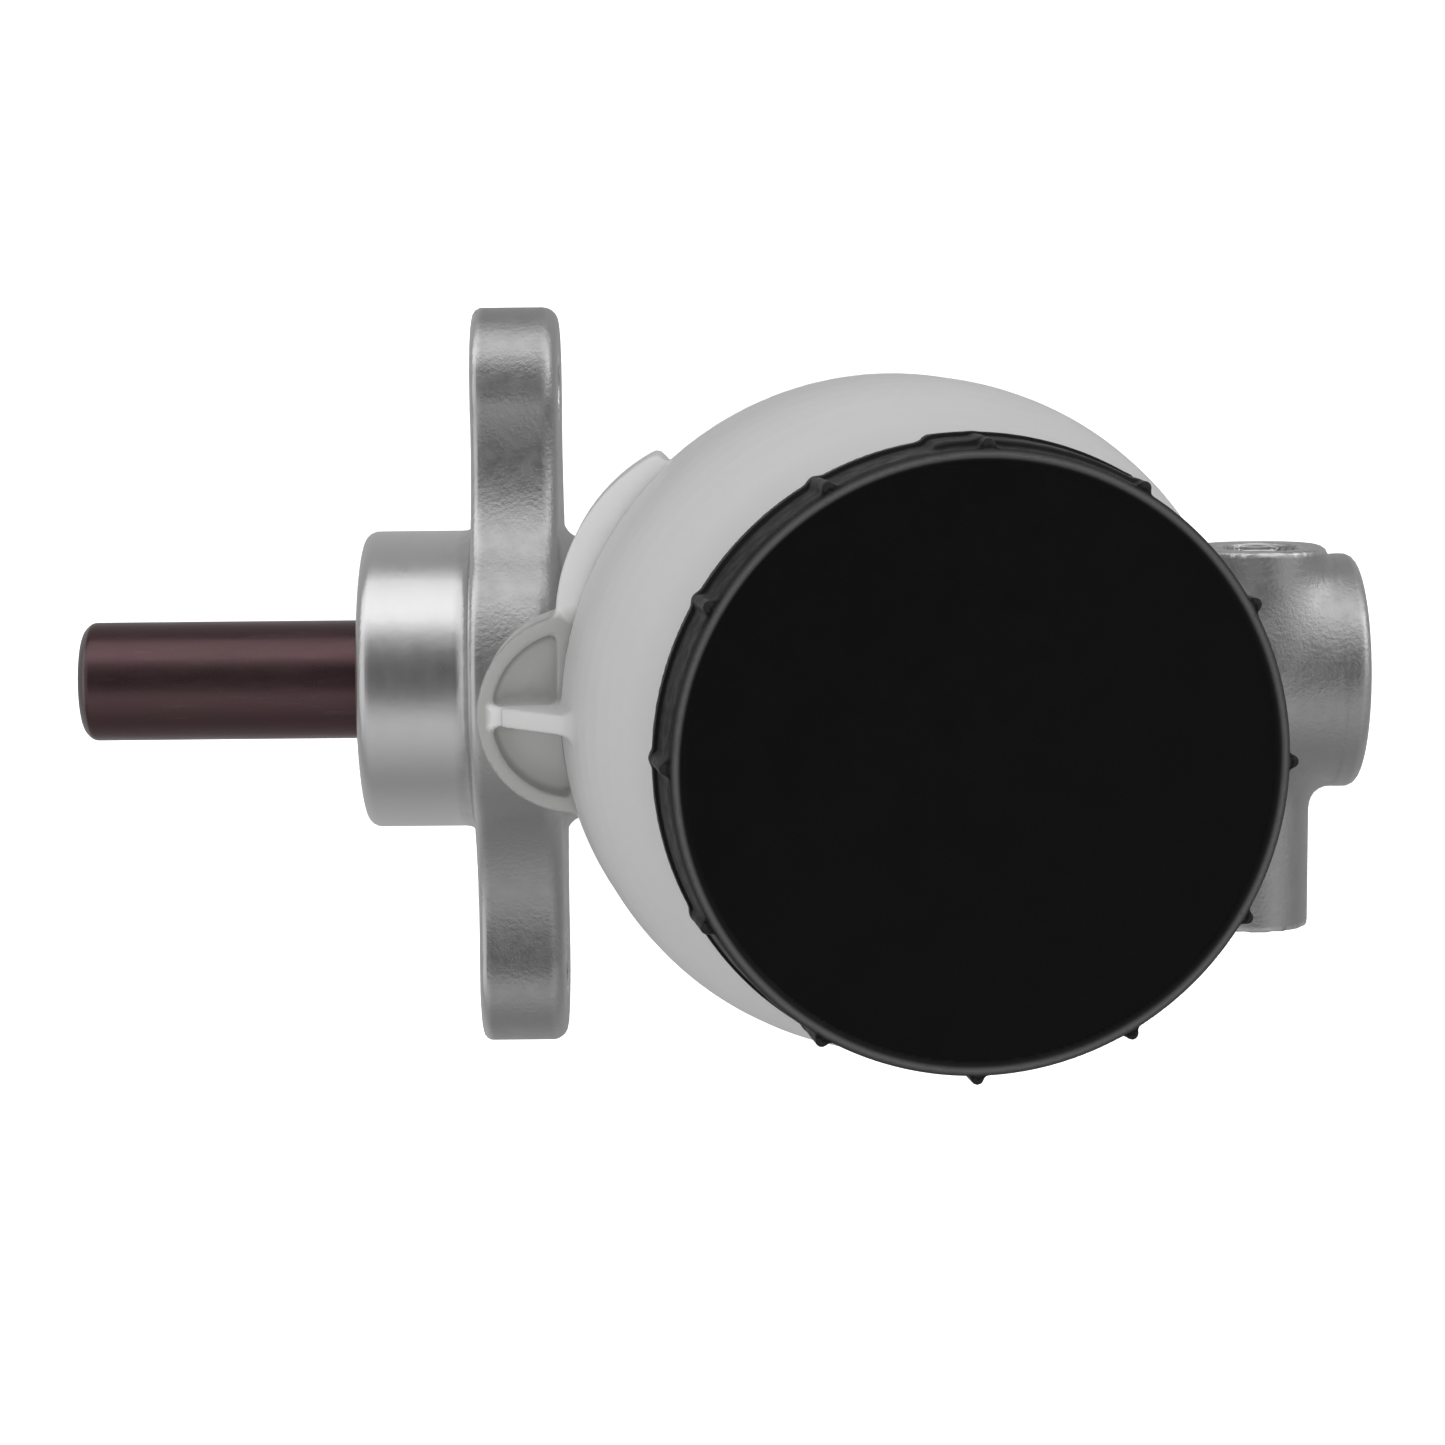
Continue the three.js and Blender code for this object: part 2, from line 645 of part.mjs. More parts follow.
function reservoirLower() {
  const { wall, seam, floor } = RESERVOIR;
  const rimTop = seam - GAP / 2;
  const rimBottom = rimTop - wall;
  const outside = cutOff(join(
    rearDish(wall),
    well(0, floor, 60),
    tilted(rod('z', BOTTLE_RADIUS, rimBottom, rimTop, WIDE)),
  ), rimTop);
  const hollow = well(wall, floor + wall, 60);
  const mouth = tilted(rod('z', BOTTLE_RADIUS - wall - 1, rimBottom - 1, rimTop + 1, WIDE));
  const inside = join(cutOff(hollow, rimBottom), hollow.intersect(mouth));
  const nipples = [];
  const feeds = [];
  for (const x of [PRIMARY.inlet, SECONDARY.inlet]) {
    nipples.push(rod('z', NIPPLE.radius, NIPPLE.end, floor + 1).translate(x, 0, 0));
    feeds.push(rod('z', NIPPLE.bore, NIPPLE.end - 1, floor + 4).translate(x, 0, 0));
  }
  const dividerHalf = WELL.radius - 1;
  const divider = box([PIN.x - 1, PIN.x + 1], [-dividerHalf, dividerHalf], [floor + 1, 36]);
  const earInner = PIN.lugHalf + 0.4;
  const ears = [1, -1].map((side) => {
    const ys = [side * earInner, side * (earInner + PIN.earThickness)].sort((a, b) => a - b);
    return box([PIN.x - 5, PIN.x + 5], ys, [20.5, floor + 1]);
  });
  const pinHole = rod('y', PIN.radius + GAP, -20, 20).translate(PIN.x, 0, PIN.z);
  const shell = join(cut(outside, inside), divider, ...nipples, ...ears);
  return piece('reservoir_lower', cut(shell, pinHole, ...feeds), milkyPlastic);
}

// Rounded thread ridges, one for each start; height is where the first begins above its own helix.
function threadRidges(radius, height, firstAngle) {
  const ridges = [];
  for (let start = 0; start < THREAD.starts; start += 1) {
    const curve = new Helix({
      radius,
      lead: THREAD.lead,
      turns: THREAD.turns,
      startAngle: firstAngle + (start * 2 * Math.PI) / THREAD.starts,
      startHeight: THREAD.bottom + height + (THREAD.lead * firstAngle) / (2 * Math.PI),
    });
    ridges.push(solid(sweepAlong(curve, THREAD.ridge, Math.round(20 * THREAD.turns))));
  }
  return ridges;
}

// Triangular rib from the dish up the rear of the bottle.
function gusset(bottom) {
  const tip = LOBE.x - LOBE.radius - RESERVOIR.x - bottom * Math.sin(RESERVOIR.tilt) + 3;
  const root = -BOTTLE_RADIUS + 1;
  const outline = new THREE.Shape([
    new THREE.Vector2(tip, bottom),
    new THREE.Vector2(root, bottom),
    new THREE.Vector2(root, bottom + 15),
    new THREE.Vector2(tip, bottom + 1.5),
  ]);
  const plate = new THREE.ExtrudeGeometry(outline, { depth: GUSSET, bevelEnabled: false });
  return solid(plate.translate(0, 0, -GUSSET / 2).rotateX(Math.PI / 2));
}

function reservoirUpper() {
  const { wall, seam } = RESERVOIR;
  const bottom = seam + GAP / 2;
  const outer = [
    [BOTTLE_RADIUS, bottom],
    [BOTTLE_RADIUS, 50],
    [47.3, 57],
    [45.5, 64],
    [42.6, 71],
    [39.4, 77.5],
    [37.4, 82.5],
    [NECK.radius, 87],
    [NECK.radius, NECK.rim],
  ];
  const inner = [
    [NECK.bore + 1.5, NECK.rim],
    [NECK.bore + 1.5, NECK.ledge],
    [NECK.bore, NECK.ledge],
    [NECK.bore, 86],
    [38.6 - wall, 77.5],
    [44.2 - wall, 65],
    [BOTTLE_RADIUS - wall, 52],
    [BOTTLE_RADIUS - wall, bottom],
  ];
  const bottle = revolve('z', [...outer, ...inner, outer[0]], WIDE);
  const ridges = threadRidges(THREAD_RADIUS.neck, 0, 0);
  const hollow = rod('z', BOTTLE_RADIUS - wall, bottom - 1, 60, WIDE);
  return piece('reservoir_upper', join(cut(gusset(bottom), hollow), bottle, ...ridges), milkyPlastic);
}

function fillerCap() {
  const skirt = revolve('z', [
    [0, CAP.roof],
    [CAP.bore, CAP.roof],
    [CAP.bore, CAP.skirt],
    [CAP.radius - 0.4, CAP.skirt],
    [CAP.radius, CAP.skirt + 0.5],
    [CAP.radius, CAP.skirt + 1.8],
    [CAP.radius - 0.5, CAP.skirt + 2.2],
    [CAP.topRadius, CAP.top - 0.9],
    [CAP.topRadius - 0.8, CAP.top],
    [CAP.topRadius - 2.6, CAP.top],
    [CAP.topRadius - 3.4, CAP.top - 0.7],
    [0, CAP.top - 0.4],
  ], WIDE);
  const ribs = [];
  for (let i = 0; i < CAP.ribs; i += 1) {
    const rib = rod('z', 1.05, CAP.skirt, CAP.top - 0.9, 6).translate(CAP.radius - 0.2, 0, 0);
    ribs.push(rib.rotate(0, 0, (i * 360) / CAP.ribs));
  }
  const halfway = THREAD.lead / THREAD.starts / 2;
  const ridges = threadRidges(THREAD_RADIUS.cap, halfway, -Math.PI / 4);
  return piece('filler_cap', join(skirt, ...ribs, ...ridges), blackPlastic);
}

// Rubber gasket and bellows between the cap and the rim of the neck.
function capDiaphragm() {
  const body = revolve('z', [
    [0, 93.4],
    [18, 93.4],
    [20, 91.6],
    [24, 91.6],
    [27, 98.5],
    [36, 98.5],
    [36, 99.7],
    [26, 99.7],
    [23, 92.8],
    [21, 92.8],
    [19, 94.6],
    [0, 94.6],
  ], 28);
  return piece('cap_diaphragm', body, blackRubber);
}

function fillerStrainer() {
  const basket = revolve('z', [
    [0, 76],
    [30.6, 76],
    [31.8, NECK.ledge + GAP],
    [NECK.bore + 1.1, NECK.ledge + GAP],
    [NECK.bore + 1.1, 97.8],
    [30.4, 97.8],
    [29, 77.4],
    [0, 77.4],
  ], ROUND);
  const windows = [];
  for (let i = 0; i < 8; i += 1) {
    windows.push(box([26, 34], [-7, 7], [80, 92]).rotate(0, 0, i * 45));
  }
  const holes = [];
  for (let i = 0; i < 6; i += 1) {
    holes.push(rod('z', 6, 75, 79, 10).translate(18, 0, 0).rotate(0, 0, i * 60));
  }
  return piece('filler_strainer', cut(basket, ...windows, ...holes), whiteNylon);
}

function grommet(name, x) {
  const radius = INLET.pocketRadius - GAP;
  const body = revolve('z', [
    [4.9, INLET.floor + GAP],
    [radius - 0.6, INLET.floor + GAP],
    [radius, INLET.floor + 1.4],
    [radius, INLET.top + GAP],
    [radius + 1.8, INLET.top + GAP],
    [radius + 1.8, INLET.top + 2.1],
    [radius + 1.2, INLET.top + 2.6],
    [4.9, INLET.top + 2.6],
    [4.9, INLET.floor + GAP],
  ], INNER);
  return piece(name, body.translate(x, 0, 0), blackRubber);
}

// Split spring pin through the cylinder's lug and the reservoir's two ears.
function reservoirPin() {
  const halfGap = 0.35;
  const outline = new THREE.Shape();
  outline.absarc(0, 0, PIN.radius, halfGap, 2 * Math.PI - halfGap, false);
  outline.absarc(0, 0, PIN.radius - 0.7, 2 * Math.PI - halfGap, halfGap, true);
  outline.closePath();
  const rolled = new THREE.ExtrudeGeometry(outline, {
    depth: 2 * PIN.halfLength,
    bevelEnabled: false,
    curveSegments: 14,
  });
  rolled.translate(0, 0, -PIN.halfLength).rotateX(Math.PI / 2);
  return piece('reservoir_pin', solid(rolled).translate(PIN.x, 0, PIN.z), springSteel);
}

// ---------------------------------------------------------------- assembly

const tiltedReservoir = new THREE.Group();
tiltedReservoir.position.x = RESERVOIR.x;
tiltedReservoir.rotation.y = RESERVOIR.tilt;
tiltedReservoir.add(reservoirUpper(), fillerCap(), capDiaphragm(), fillerStrainer());

const masterCylinder = new THREE.Group();
masterCylinder.add(
  cylinderBody(),
  flareSeat('upper_outlet_seat', 1, OUTLET.x, UPPER_OUTLET.face, UPPER_OUTLET.height),
  flareSeat('lower_outlet_seat', -1, OUTLET.x, LOWER_OUTLET.face),
  flareSeat('primary_outlet_seat', -1, PRIMARY_OUTLET.x, PRIMARY_OUTLET.face),
  stopBolt(),
  stopBoltWasher(),
  pistonGuide(),
  guideSeal(),
  guideRing(),
  circlip(),
  ...primaryGroup(),
  ...secondaryGroup(),
  reservoirLower(),
  grommet('grommet_rear', PRIMARY.inlet),
  grommet('grommet_front', SECONDARY.inlet),
  reservoirPin(),
  tiltedReservoir,
);

export default masterCylinder;
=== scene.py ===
"""Looks of the tandem brake master cylinder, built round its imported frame.

Shapes are worked out in millimetres and turned into metres when their meshes are made. The bore lies along X
with its origin on the flange's rear face, and the reservoir stands on it, leaning 8 degrees towards +X.
"""

import functools
import json
import math

import bpy
import numpy as np
from mathutils import Matrix, Vector


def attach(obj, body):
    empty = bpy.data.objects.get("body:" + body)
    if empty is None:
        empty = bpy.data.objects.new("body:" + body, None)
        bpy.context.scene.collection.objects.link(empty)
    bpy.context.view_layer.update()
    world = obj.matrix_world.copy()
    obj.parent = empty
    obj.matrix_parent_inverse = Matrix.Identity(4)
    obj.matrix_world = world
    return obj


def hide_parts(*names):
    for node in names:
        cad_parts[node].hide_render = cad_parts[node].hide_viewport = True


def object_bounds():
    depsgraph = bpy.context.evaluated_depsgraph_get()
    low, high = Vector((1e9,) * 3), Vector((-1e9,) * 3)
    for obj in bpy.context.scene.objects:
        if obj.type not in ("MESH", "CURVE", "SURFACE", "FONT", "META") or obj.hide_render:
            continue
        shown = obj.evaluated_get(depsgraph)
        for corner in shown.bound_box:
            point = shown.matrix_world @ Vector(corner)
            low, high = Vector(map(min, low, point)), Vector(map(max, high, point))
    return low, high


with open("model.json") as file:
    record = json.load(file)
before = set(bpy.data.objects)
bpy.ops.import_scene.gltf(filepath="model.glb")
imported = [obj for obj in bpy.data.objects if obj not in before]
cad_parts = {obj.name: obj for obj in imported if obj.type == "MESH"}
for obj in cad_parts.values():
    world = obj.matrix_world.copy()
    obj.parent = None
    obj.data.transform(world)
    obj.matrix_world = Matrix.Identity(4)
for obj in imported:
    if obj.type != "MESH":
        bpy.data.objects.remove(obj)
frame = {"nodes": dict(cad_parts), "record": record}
cad_low, cad_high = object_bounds()

MM = 0.001
GAP = 0.3

# Cylinder, in millimetres
SPIGOT_RADIUS, SPIGOT_START = 23, -17.2
FLANGE_THICKNESS, STUD_REACH, EAR_RADIUS, DISC_RADIUS, HOLLOW_RADIUS = 13.2, 45, 12.35, 27, 25
BARREL_END = 136.1
BORE_RADIUS, BORE_STEP, SPRING_BORE, BORE_END = 12.7, 114, 9, 132
INLETS = (32.6, 92.4)
INLET_TOP = 26
# Each outlet: x and height of its axis, side (1 for +Y), distance of its face, radius of its boss
OUTLETS = (
    (120.7, 6, 1, 19.7, 9.8),
    (120.7, 0, -1, 40, 8.8),
    (61, 0, -1, 32, 8.8),
)
OUTLET_THREAD, OUTLET_DEPTH = 5.1, 7.5
STOP_BOLT_X, STOP_BOLT_SEAT = 88, 22
ROD_RADIUS, ROD_END, SOCKET_RADIUS, SOCKET_DEPTH = 9.2, -61.3, 5.5, 14
GUIDE_REAR = -14.2
CLIP_GROOVE, CLIP = (-16.5, -14.5), (-16.1, -14.9)

# Reservoir, in millimetres; heights on the leaning bottle's own axis
LEAN = math.radians(8)
BOTTLE_X, BOTTLE_RADIUS, WALL, SEAM = 56.6, 47.9, 2.2, 40
WELL_X, WELL_RADIUS, FLOOR = 61, 45.2, 29
TRAY_REAR, TRAY_SIDE, TRAY_CORNER = 14.1, 13.4, 26.4
DISH_X, DISH_RADIUS, DISH_BOTTOM, DISH_FLOOR = 17, 14.3, 31, 8
RIB_HALF = 1.4
NECK_RADIUS, NECK_BORE, NECK_LEDGE, NECK_RIM = 36.4, 32.8, 96.1, 98.2
CAP_SKIRT, CAP_TOP, CAP_RADIUS, CAP_ROOF, CAP_BORE = 90.4, 102.4, 41.2, 100, 39.1
RIB_TURN = math.radians(1)
THREAD_LEAD, THREAD_TURNS, THREAD_BOTTOM = 8, 0.66, 91.8
PIN_X, PIN_Z = 62.5, 24.5

TO_BOTTLE = Matrix.Translation((BOTTLE_X * MM, 0, 0)) @ Matrix.Rotation(LEAN, 4, "Y")


# ---------------------------------------------------------------- signed distances, negative inside


def capped(radial, along, radius, start, end, edge=0.0):
    """A round bar with rounded ends; radial is the distance from its axis."""
    side = radial - radius + edge
    cap = np.abs(along - (start + end) / 2) - abs(end - start) / 2 + edge
    outside = np.hypot(np.maximum(side, 0), np.maximum(cap, 0))
    return np.minimum(np.maximum(side, cap), 0) + outside - edge


def extruded(plan, along, start, end, edge=0.0):
    """A flat shape with distance plan, drawn out along an axis with rounded ends."""
    return capped(plan, along, 0.0, start, end, edge)


def block(x, y, z, low, high, edge=0.0):
    """A box with rounded edges."""
    reach = [
        np.abs(c - (a + b) / 2) - (b - a) / 2 + edge
        for c, a, b in zip((x, y, z), low, high)
    ]
    inside = np.minimum(np.maximum(np.maximum(reach[0], reach[1]), reach[2]), 0)
    squares = sum(np.maximum(r, 0) ** 2 for r in reach)
    return inside + np.sqrt(squares) - edge


def outline(u, v, corners):
    """A flat polygon."""
    nearest, outside = None, None
    for (u0, v0), (u1, v1) in zip(corners, corners[1:] + corners[:1]):
        eu, ev = u1 - u0, v1 - v0
        wu, wv = u - u0, v - v0
        t = np.clip((wu * eu + wv * ev) / (eu * eu + ev * ev), 0, 1)
        square = (wu - eu * t) ** 2 + (wv - ev * t) ** 2
        above, below, left = v >= v0, v < v1, eu * wv > ev * wu
        crossed = (above & below & left) | ~(above | below | left)
        nearest = square if nearest is None else np.minimum(nearest, square)
        outside = ~crossed if outside is None else outside ^ crossed
    return np.where(outside, 1, -1) * np.sqrt(nearest)


def melt(a, b, reach):
    """Union with a fillet."""
    h = np.maximum(reach - np.abs(a - b), 0) / reach
    return np.minimum(a, b) - h * h * reach / 4


def carve(a, b, reach=0.6):
    """a without b, with a softened edge."""
    return -melt(-a, b, reach)


# ---------------------------------------------------------------- meshes


def surface_nets(shape, low, high, cell):
    """Points and quads near the zero surface of shape(x, y, z) in the box from low to high."""
    axes = [np.arange(a - 1.5 * cell, b + 2 * cell, cell, dtype=np.float32) for a, b in zip(low, high)]
    grid = shape(axes[0][:, None, None], axes[1][None, :, None], axes[2][None, None, :])
    inside = grid < 0
    corners = [(i, j, k) for i in (0, 1) for j in (0, 1) for k in (0, 1)]
    size = np.array(inside.shape) - 1
    count = np.zeros(size, np.int8)
    for i, j, k in corners:
        count += inside[i : i + size[0], j : j + size[1], k : k + size[2]]
    active = (count > 0) & (count < 8)
    cells = np.argwhere(active)
    number = np.full(active.shape, -1, np.int64)
    number[active] = np.arange(len(cells))
    value = {c: grid[tuple((cells + c).T)] for c in corners}
    total, crossings = np.zeros((len(cells), 3)), np.zeros(len(cells))
    for a in corners:
        for b in corners:
            if sum(b) - sum(a) == 1 and all(q >= p for p, q in zip(a, b)):
                crossed = (value[a] < 0) != (value[b] < 0)
                step = np.where(crossed, value[a] / np.where(crossed, value[a] - value[b], 1), 0)
                point = np.array(a) + step[:, None] * (np.array(b) - a)
                total += point * crossed[:, None]
                crossings += crossed
    start = np.array([axis[0] for axis in axes])
    points = start + (cells + total / crossings[:, None]) * cell
    quads = []
    for d in range(3):
        u, v = np.eye(3, dtype=int)[(d + 1) % 3], np.eye(3, dtype=int)[(d + 2) % 3]
        here = np.take(inside, range(size[d]), axis=d)
        there = np.take(inside, range(1, size[d] + 1), axis=d)
        at = np.argwhere(here != there)
        ring = [number[tuple(p.T)] for p in (at, at - u, at - u - v, at - v)]
        ring = np.stack(ring, axis=1)
        away = here[tuple(at.T)]
        quads.append(np.where(away[:, None], ring, ring[:, ::-1]))
    return points, np.concatenate(quads)


def slope(shape, points, reach):
    """The gradient of shape at points."""
    x, y, z = points.T
    return np.stack(
        [
            shape(x + reach, y, z) - shape(x - reach, y, z),
            shape(x, y + reach, z) - shape(x, y - reach, z),
            shape(x, y, z + reach) - shape(x, y, z - reach),
        ],
        axis=1,
    ) / (2 * reach)


def settle(shape, points, cell, rounds=3):
    """Moves points onto the zero surface of shape."""
    for _ in range(rounds):
        way = slope(shape, points, 0.04)
        length = np.maximum((way**2).sum(1), 0.05)
        step = np.clip(shape(*points.T) / length, -cell / 2, cell / 2)
        points = points - way * step[:, None]
    return points


def convexity(shape, points, reach=0.9):
    """How sharply the surface bends at points, from -1 in a groove to 1 on an edge."""
    x, y, z = points.T
    around = (
        shape(x + reach, y, z) + shape(x - reach, y, z)
        + shape(x, y + reach, z) + shape(x, y - reach, z)
        + shape(x, y, z + reach) + shape(x, y, z - reach)
    )
    return np.clip((around - 6 * shape(x, y, z)) / reach, -1, 1)


def corner_normals(mesh, shape, at):
    """The normal of shape at each face corner, taken just inside the face so that creases stay crisp."""
    corner = np.zeros(len(mesh.loops), np.int64)
    mesh.loops.foreach_get("vertex_index", corner)
    sides = np.zeros(len(mesh.polygons), np.int64)
    mesh.polygons.foreach_get("loop_total", sides)
    face = np.repeat(np.arange(len(sides)), sides)
    middle = np.zeros((len(sides), 3))
    np.add.at(middle, face, at[corner])
    middle /= sides[:, None]
    inward = middle[face] - at[corner]
    inward /= np.maximum(np.linalg.norm(inward, axis=1), 1e-6)[:, None]
    normals = slope(shape, at[corner] + 0.15 * inward, 0.06)
    return normals / np.maximum(np.linalg.norm(normals, axis=1), 1e-6)[:, None]


def new_mesh(name, points, faces):
    """A smooth-shaded mesh from points in millimetres."""
    mesh = bpy.data.meshes.new(name)
    if isinstance(faces, np.ndarray):
        faces = faces.tolist()
    mesh.from_pydata((np.asarray(points, float) * MM).tolist(), [], faces)
    mesh.update()
    mesh.shade_smooth()
    return mesh


def placed(name, data):
    """A new object for data, linked into the scene."""
    obj = bpy.data.objects.new(name, data)
    bpy.context.scene.collection.objects.link(obj)
    return obj


def sculpted(name, shape, low, high, cell=0.6, keep=0.3, matrix=None, masks=()):
    """An object whose mesh lies on the zero surface of shape, thinned to a share of its faces.

    Its normals come from shape itself. Each mask is (attribute name, function of x, y, z).
    """
    points, quads = surface_nets(shape, low, high, cell)
    points = settle(shape, points, cell)
    obj = placed(name, new_mesh(name, points, quads))
    thin = obj.modifiers.new("thin", "DECIMATE")
    thin.ratio = keep
    evaluated = obj.evaluated_get(bpy.context.evaluated_depsgraph_get())
    mesh = bpy.data.meshes.new_from_object(evaluated)
    obj.modifiers.clear()
    obj.data = mesh
    mesh.name = name
    at = np.zeros(len(mesh.vertices) * 3)
    mesh.vertices.foreach_get("co", at)
    at = settle(shape, at.reshape(-1, 3) / MM, cell)
    mesh.vertices.foreach_set("co", (at * MM).ravel())
    for label, mask in [("edge", lambda x, y, z: convexity(shape, at)), *masks]:
        attribute = mesh.attributes.new(label, "FLOAT", "POINT")
        attribute.data.foreach_set("value", np.broadcast_to(mask(*at.T), len(at)).astype(np.float32))
    normals = corner_normals(mesh, shape, at)
    if matrix is not None:
        mesh.transform(matrix)
        normals = normals @ np.array(matrix.to_3x3()).T
    mesh.update()
    mesh.shade_smooth()
    mesh.normals_split_custom_set(normals.tolist())
    return obj


def softened(corners, radius, closed=True, steps=3):
    """Rounds the corners of a profile."""
    rounded = []
    for i, corner in enumerate(corners):
        if not closed and i in (0, len(corners) - 1):
            rounded.append(corner)
            continue
        at = Vector(corner)
        back, on = Vector(corners[i - 1]) - at, Vector(corners[(i + 1) % len(corners)]) - at
        reach = min(radius, 0.45 * back.length, 0.45 * on.length)
        start, end = at + back.normalized() * reach, at + on.normalized() * reach
        for s in range(steps + 1):
            t = s / steps
            point = (1 - t) ** 2 * start + 2 * t * (1 - t) * at + t**2 * end
            rounded.append((point.x, point.y))
    return rounded


AXES = {
    "x": lambda radial, angle, along: (along, radial * math.cos(angle), radial * math.sin(angle)),
    "y": lambda radial, angle, along: (radial * math.sin(angle), along, radial * math.cos(angle)),
    "z": lambda radial, angle, along: (radial * math.cos(angle), radial * math.sin(angle), along),
}


def turned(name, axis, profile, edge, closed=True, centre=(0, 0, 0), segments=96, matrix=None):
    """A turned piece from corners (radius, distance along the axis), rounded by edge."""
    points, faces, rings = [], [], []
    for radial, along in softened(profile, edge, closed):
        if radial < 1e-6:
            rings.append([len(points)] * segments)
            points.append(AXES[axis](0, 0, along))
            continue
        rings.append(range(len(points), len(points) + segments))
        points += [AXES[axis](radial, 2 * math.pi * s / segments, along) for s in range(segments)]
    pairs = list(zip(rings, rings[1:]))
    if closed:
        pairs.append((rings[-1], rings[0]))
    for first, second in pairs:
        for s in range(segments):
            ring = (first[s], second[s], second[(s + 1) % segments], first[(s + 1) % segments])
            corners = list(dict.fromkeys(ring))
            if len(corners) > 2:
                faces.append(corners)
    mesh = new_mesh(name, np.array(points) + centre, faces)
    face_outwards(mesh)
    if matrix is not None:
        mesh.transform(matrix)
    obj = placed(name, mesh)
    obj.modifiers.new("even_shading", "WEIGHTED_NORMAL")
    return obj


def face_outwards(mesh):
    """Turns the faces of a closed mesh outwards, judged by the sign of its volume."""
    mesh.calc_loop_triangles()
    volume = 0.0
    for triangle in mesh.loop_triangles:
        a, b, c = (mesh.vertices[i].co for i in triangle.vertices)
        volume += a.dot(b.cross(c)) / 6
    if volume < 0:
        mesh.flip_normals()


# ---------------------------------------------------------------- materials


class Finish:
    """A procedural material: one Principled shader fed by patterns in the object's own space."""

    def __init__(self, name, **plain):
        self.material = bpy.data.materials.new(name)
        self.material.use_nodes = True
        self.tree = self.material.node_tree
        self.shader = self.tree.nodes["Principled BSDF"]
        for socket, value in plain.items():
            self.shader.inputs[socket.replace("_", " ")].default_value = value
        self.place = self.node("ShaderNodeTexCoord").outputs["Object"]

    def node(self, kind, settings=None, inputs=None):
        made = self.tree.nodes.new(kind)
        for key, value in (settings or {}).items():
            setattr(made, key, value)
        for key, value in (inputs or {}).items():
            if isinstance(value, bpy.types.NodeSocket):
                self.tree.links.new(value, made.inputs[key])
            else:
                made.inputs[key].default_value = value
        return made

    def noise(self, scale, detail=3.0, rough=0.55, stretch=(1, 1, 1)):
        """Noise from 0 to 1, with scale features to a metre."""
        mapping = self.node("ShaderNodeMapping", None, {"Vector": self.place, "Scale": stretch})
        inputs = {"Vector": mapping.outputs["Vector"], "Scale": scale, "Detail": detail, "Roughness": rough}
        return self.node("ShaderNodeTexNoise", None, inputs).outputs["Fac"]

    def spread(self, value, low, high, to_low=0.0, to_high=1.0):
        """value from low..high to to_low..to_high, held between them."""
        inputs = {"Value": value, "From Min": low, "From Max": high, "To Min": to_low, "To Max": to_high}
        return self.node("ShaderNodeMapRange", None, inputs).outputs["Result"]

    def math(self, operation, a, b):
        return self.node("ShaderNodeMath", {"operation": operation}, {0: a, 1: b}).outputs[0]

    def blend(self, factor, a, b):
        made = self.node("ShaderNodeMix", {"data_type": "RGBA"})
        for socket, value in zip((made.inputs[0], made.inputs[6], made.inputs[7]), (factor, a, b)):
            if isinstance(value, bpy.types.NodeSocket):
                self.tree.links.new(value, socket)
            else:
                socket.default_value = value
        return made.outputs[2]

    def attribute(self, name):
        return self.node("ShaderNodeAttribute", {"attribute_name": name}).outputs["Fac"]

    def bump(self, height, distance, strength=1.0, under=None):
        inputs = {"Height": height, "Distance": distance, "Strength": strength}
        if under is not None:
            inputs["Normal"] = under
        return self.node("ShaderNodeBump", None, inputs).outputs["Normal"]

    def put(self, socket, value):
        self.tree.links.new(value, self.shader.inputs[socket])


def grey(value, tint=(1, 1, 1)):
    """A colour of one brightness, tinted."""
    return (value * tint[0], value * tint[1], value * tint[2], 1)


def cast_aluminium():
    f = Finish("cast_aluminium", Metallic=1.0)
    machined = f.attribute("machined")
    edge = f.attribute("edge")
    blotches = f.noise(70, 4)
    cast = f.blend(blotches, grey(0.46), grey(0.54, (1, 1, 1.01)))
    clean = f.blend(f.noise(120, 2, stretch=(1, 0.2, 0.2)), grey(0.76), grey(0.82))
    colour = f.blend(machined, cast, clean)
    grime = f.math("MULTIPLY", f.spread(edge, 0, -0.7), f.spread(f.noise(300), 0.3, 0.6, 0.3, 1.0))
    colour = f.blend(f.math("MULTIPLY", grime, 0.45), colour, grey(0.25))
    colour = f.blend(f.spread(edge, 0.25, 0.8, 0, 0.5), colour, grey(0.88))
    f.put("Base Color", colour)
    cast_rough = f.spread(f.noise(420), 0.3, 0.7, 0.34, 0.46)
    clean_rough = f.spread(f.noise(260, stretch=(2, 0.6, 0.6)), 0.3, 0.7, 0.27, 0.32)
    rough = f.math("ADD", f.math("MULTIPLY", cast_rough, f.math("SUBTRACT", 1.0, machined)),
                   f.math("MULTIPLY", clean_rough, machined))
    f.put("Roughness", rough)
    grain = f.math("MULTIPLY", f.noise(1600, 3, 0.6), f.math("SUBTRACT", 1.0, machined))
    turning = f.math("MULTIPLY", f.noise(2600, 1, stretch=(1, 0.02, 0.02)), machined)
    normal = f.bump(grain, 0.00018, 0.5)
    normal = f.bump(f.noise(230, 3), 0.0003, 0.12, normal)
    normal = f.bump(turning, 0.00002, 0.12, normal)
    f.put("Normal", normal)
    return f.material


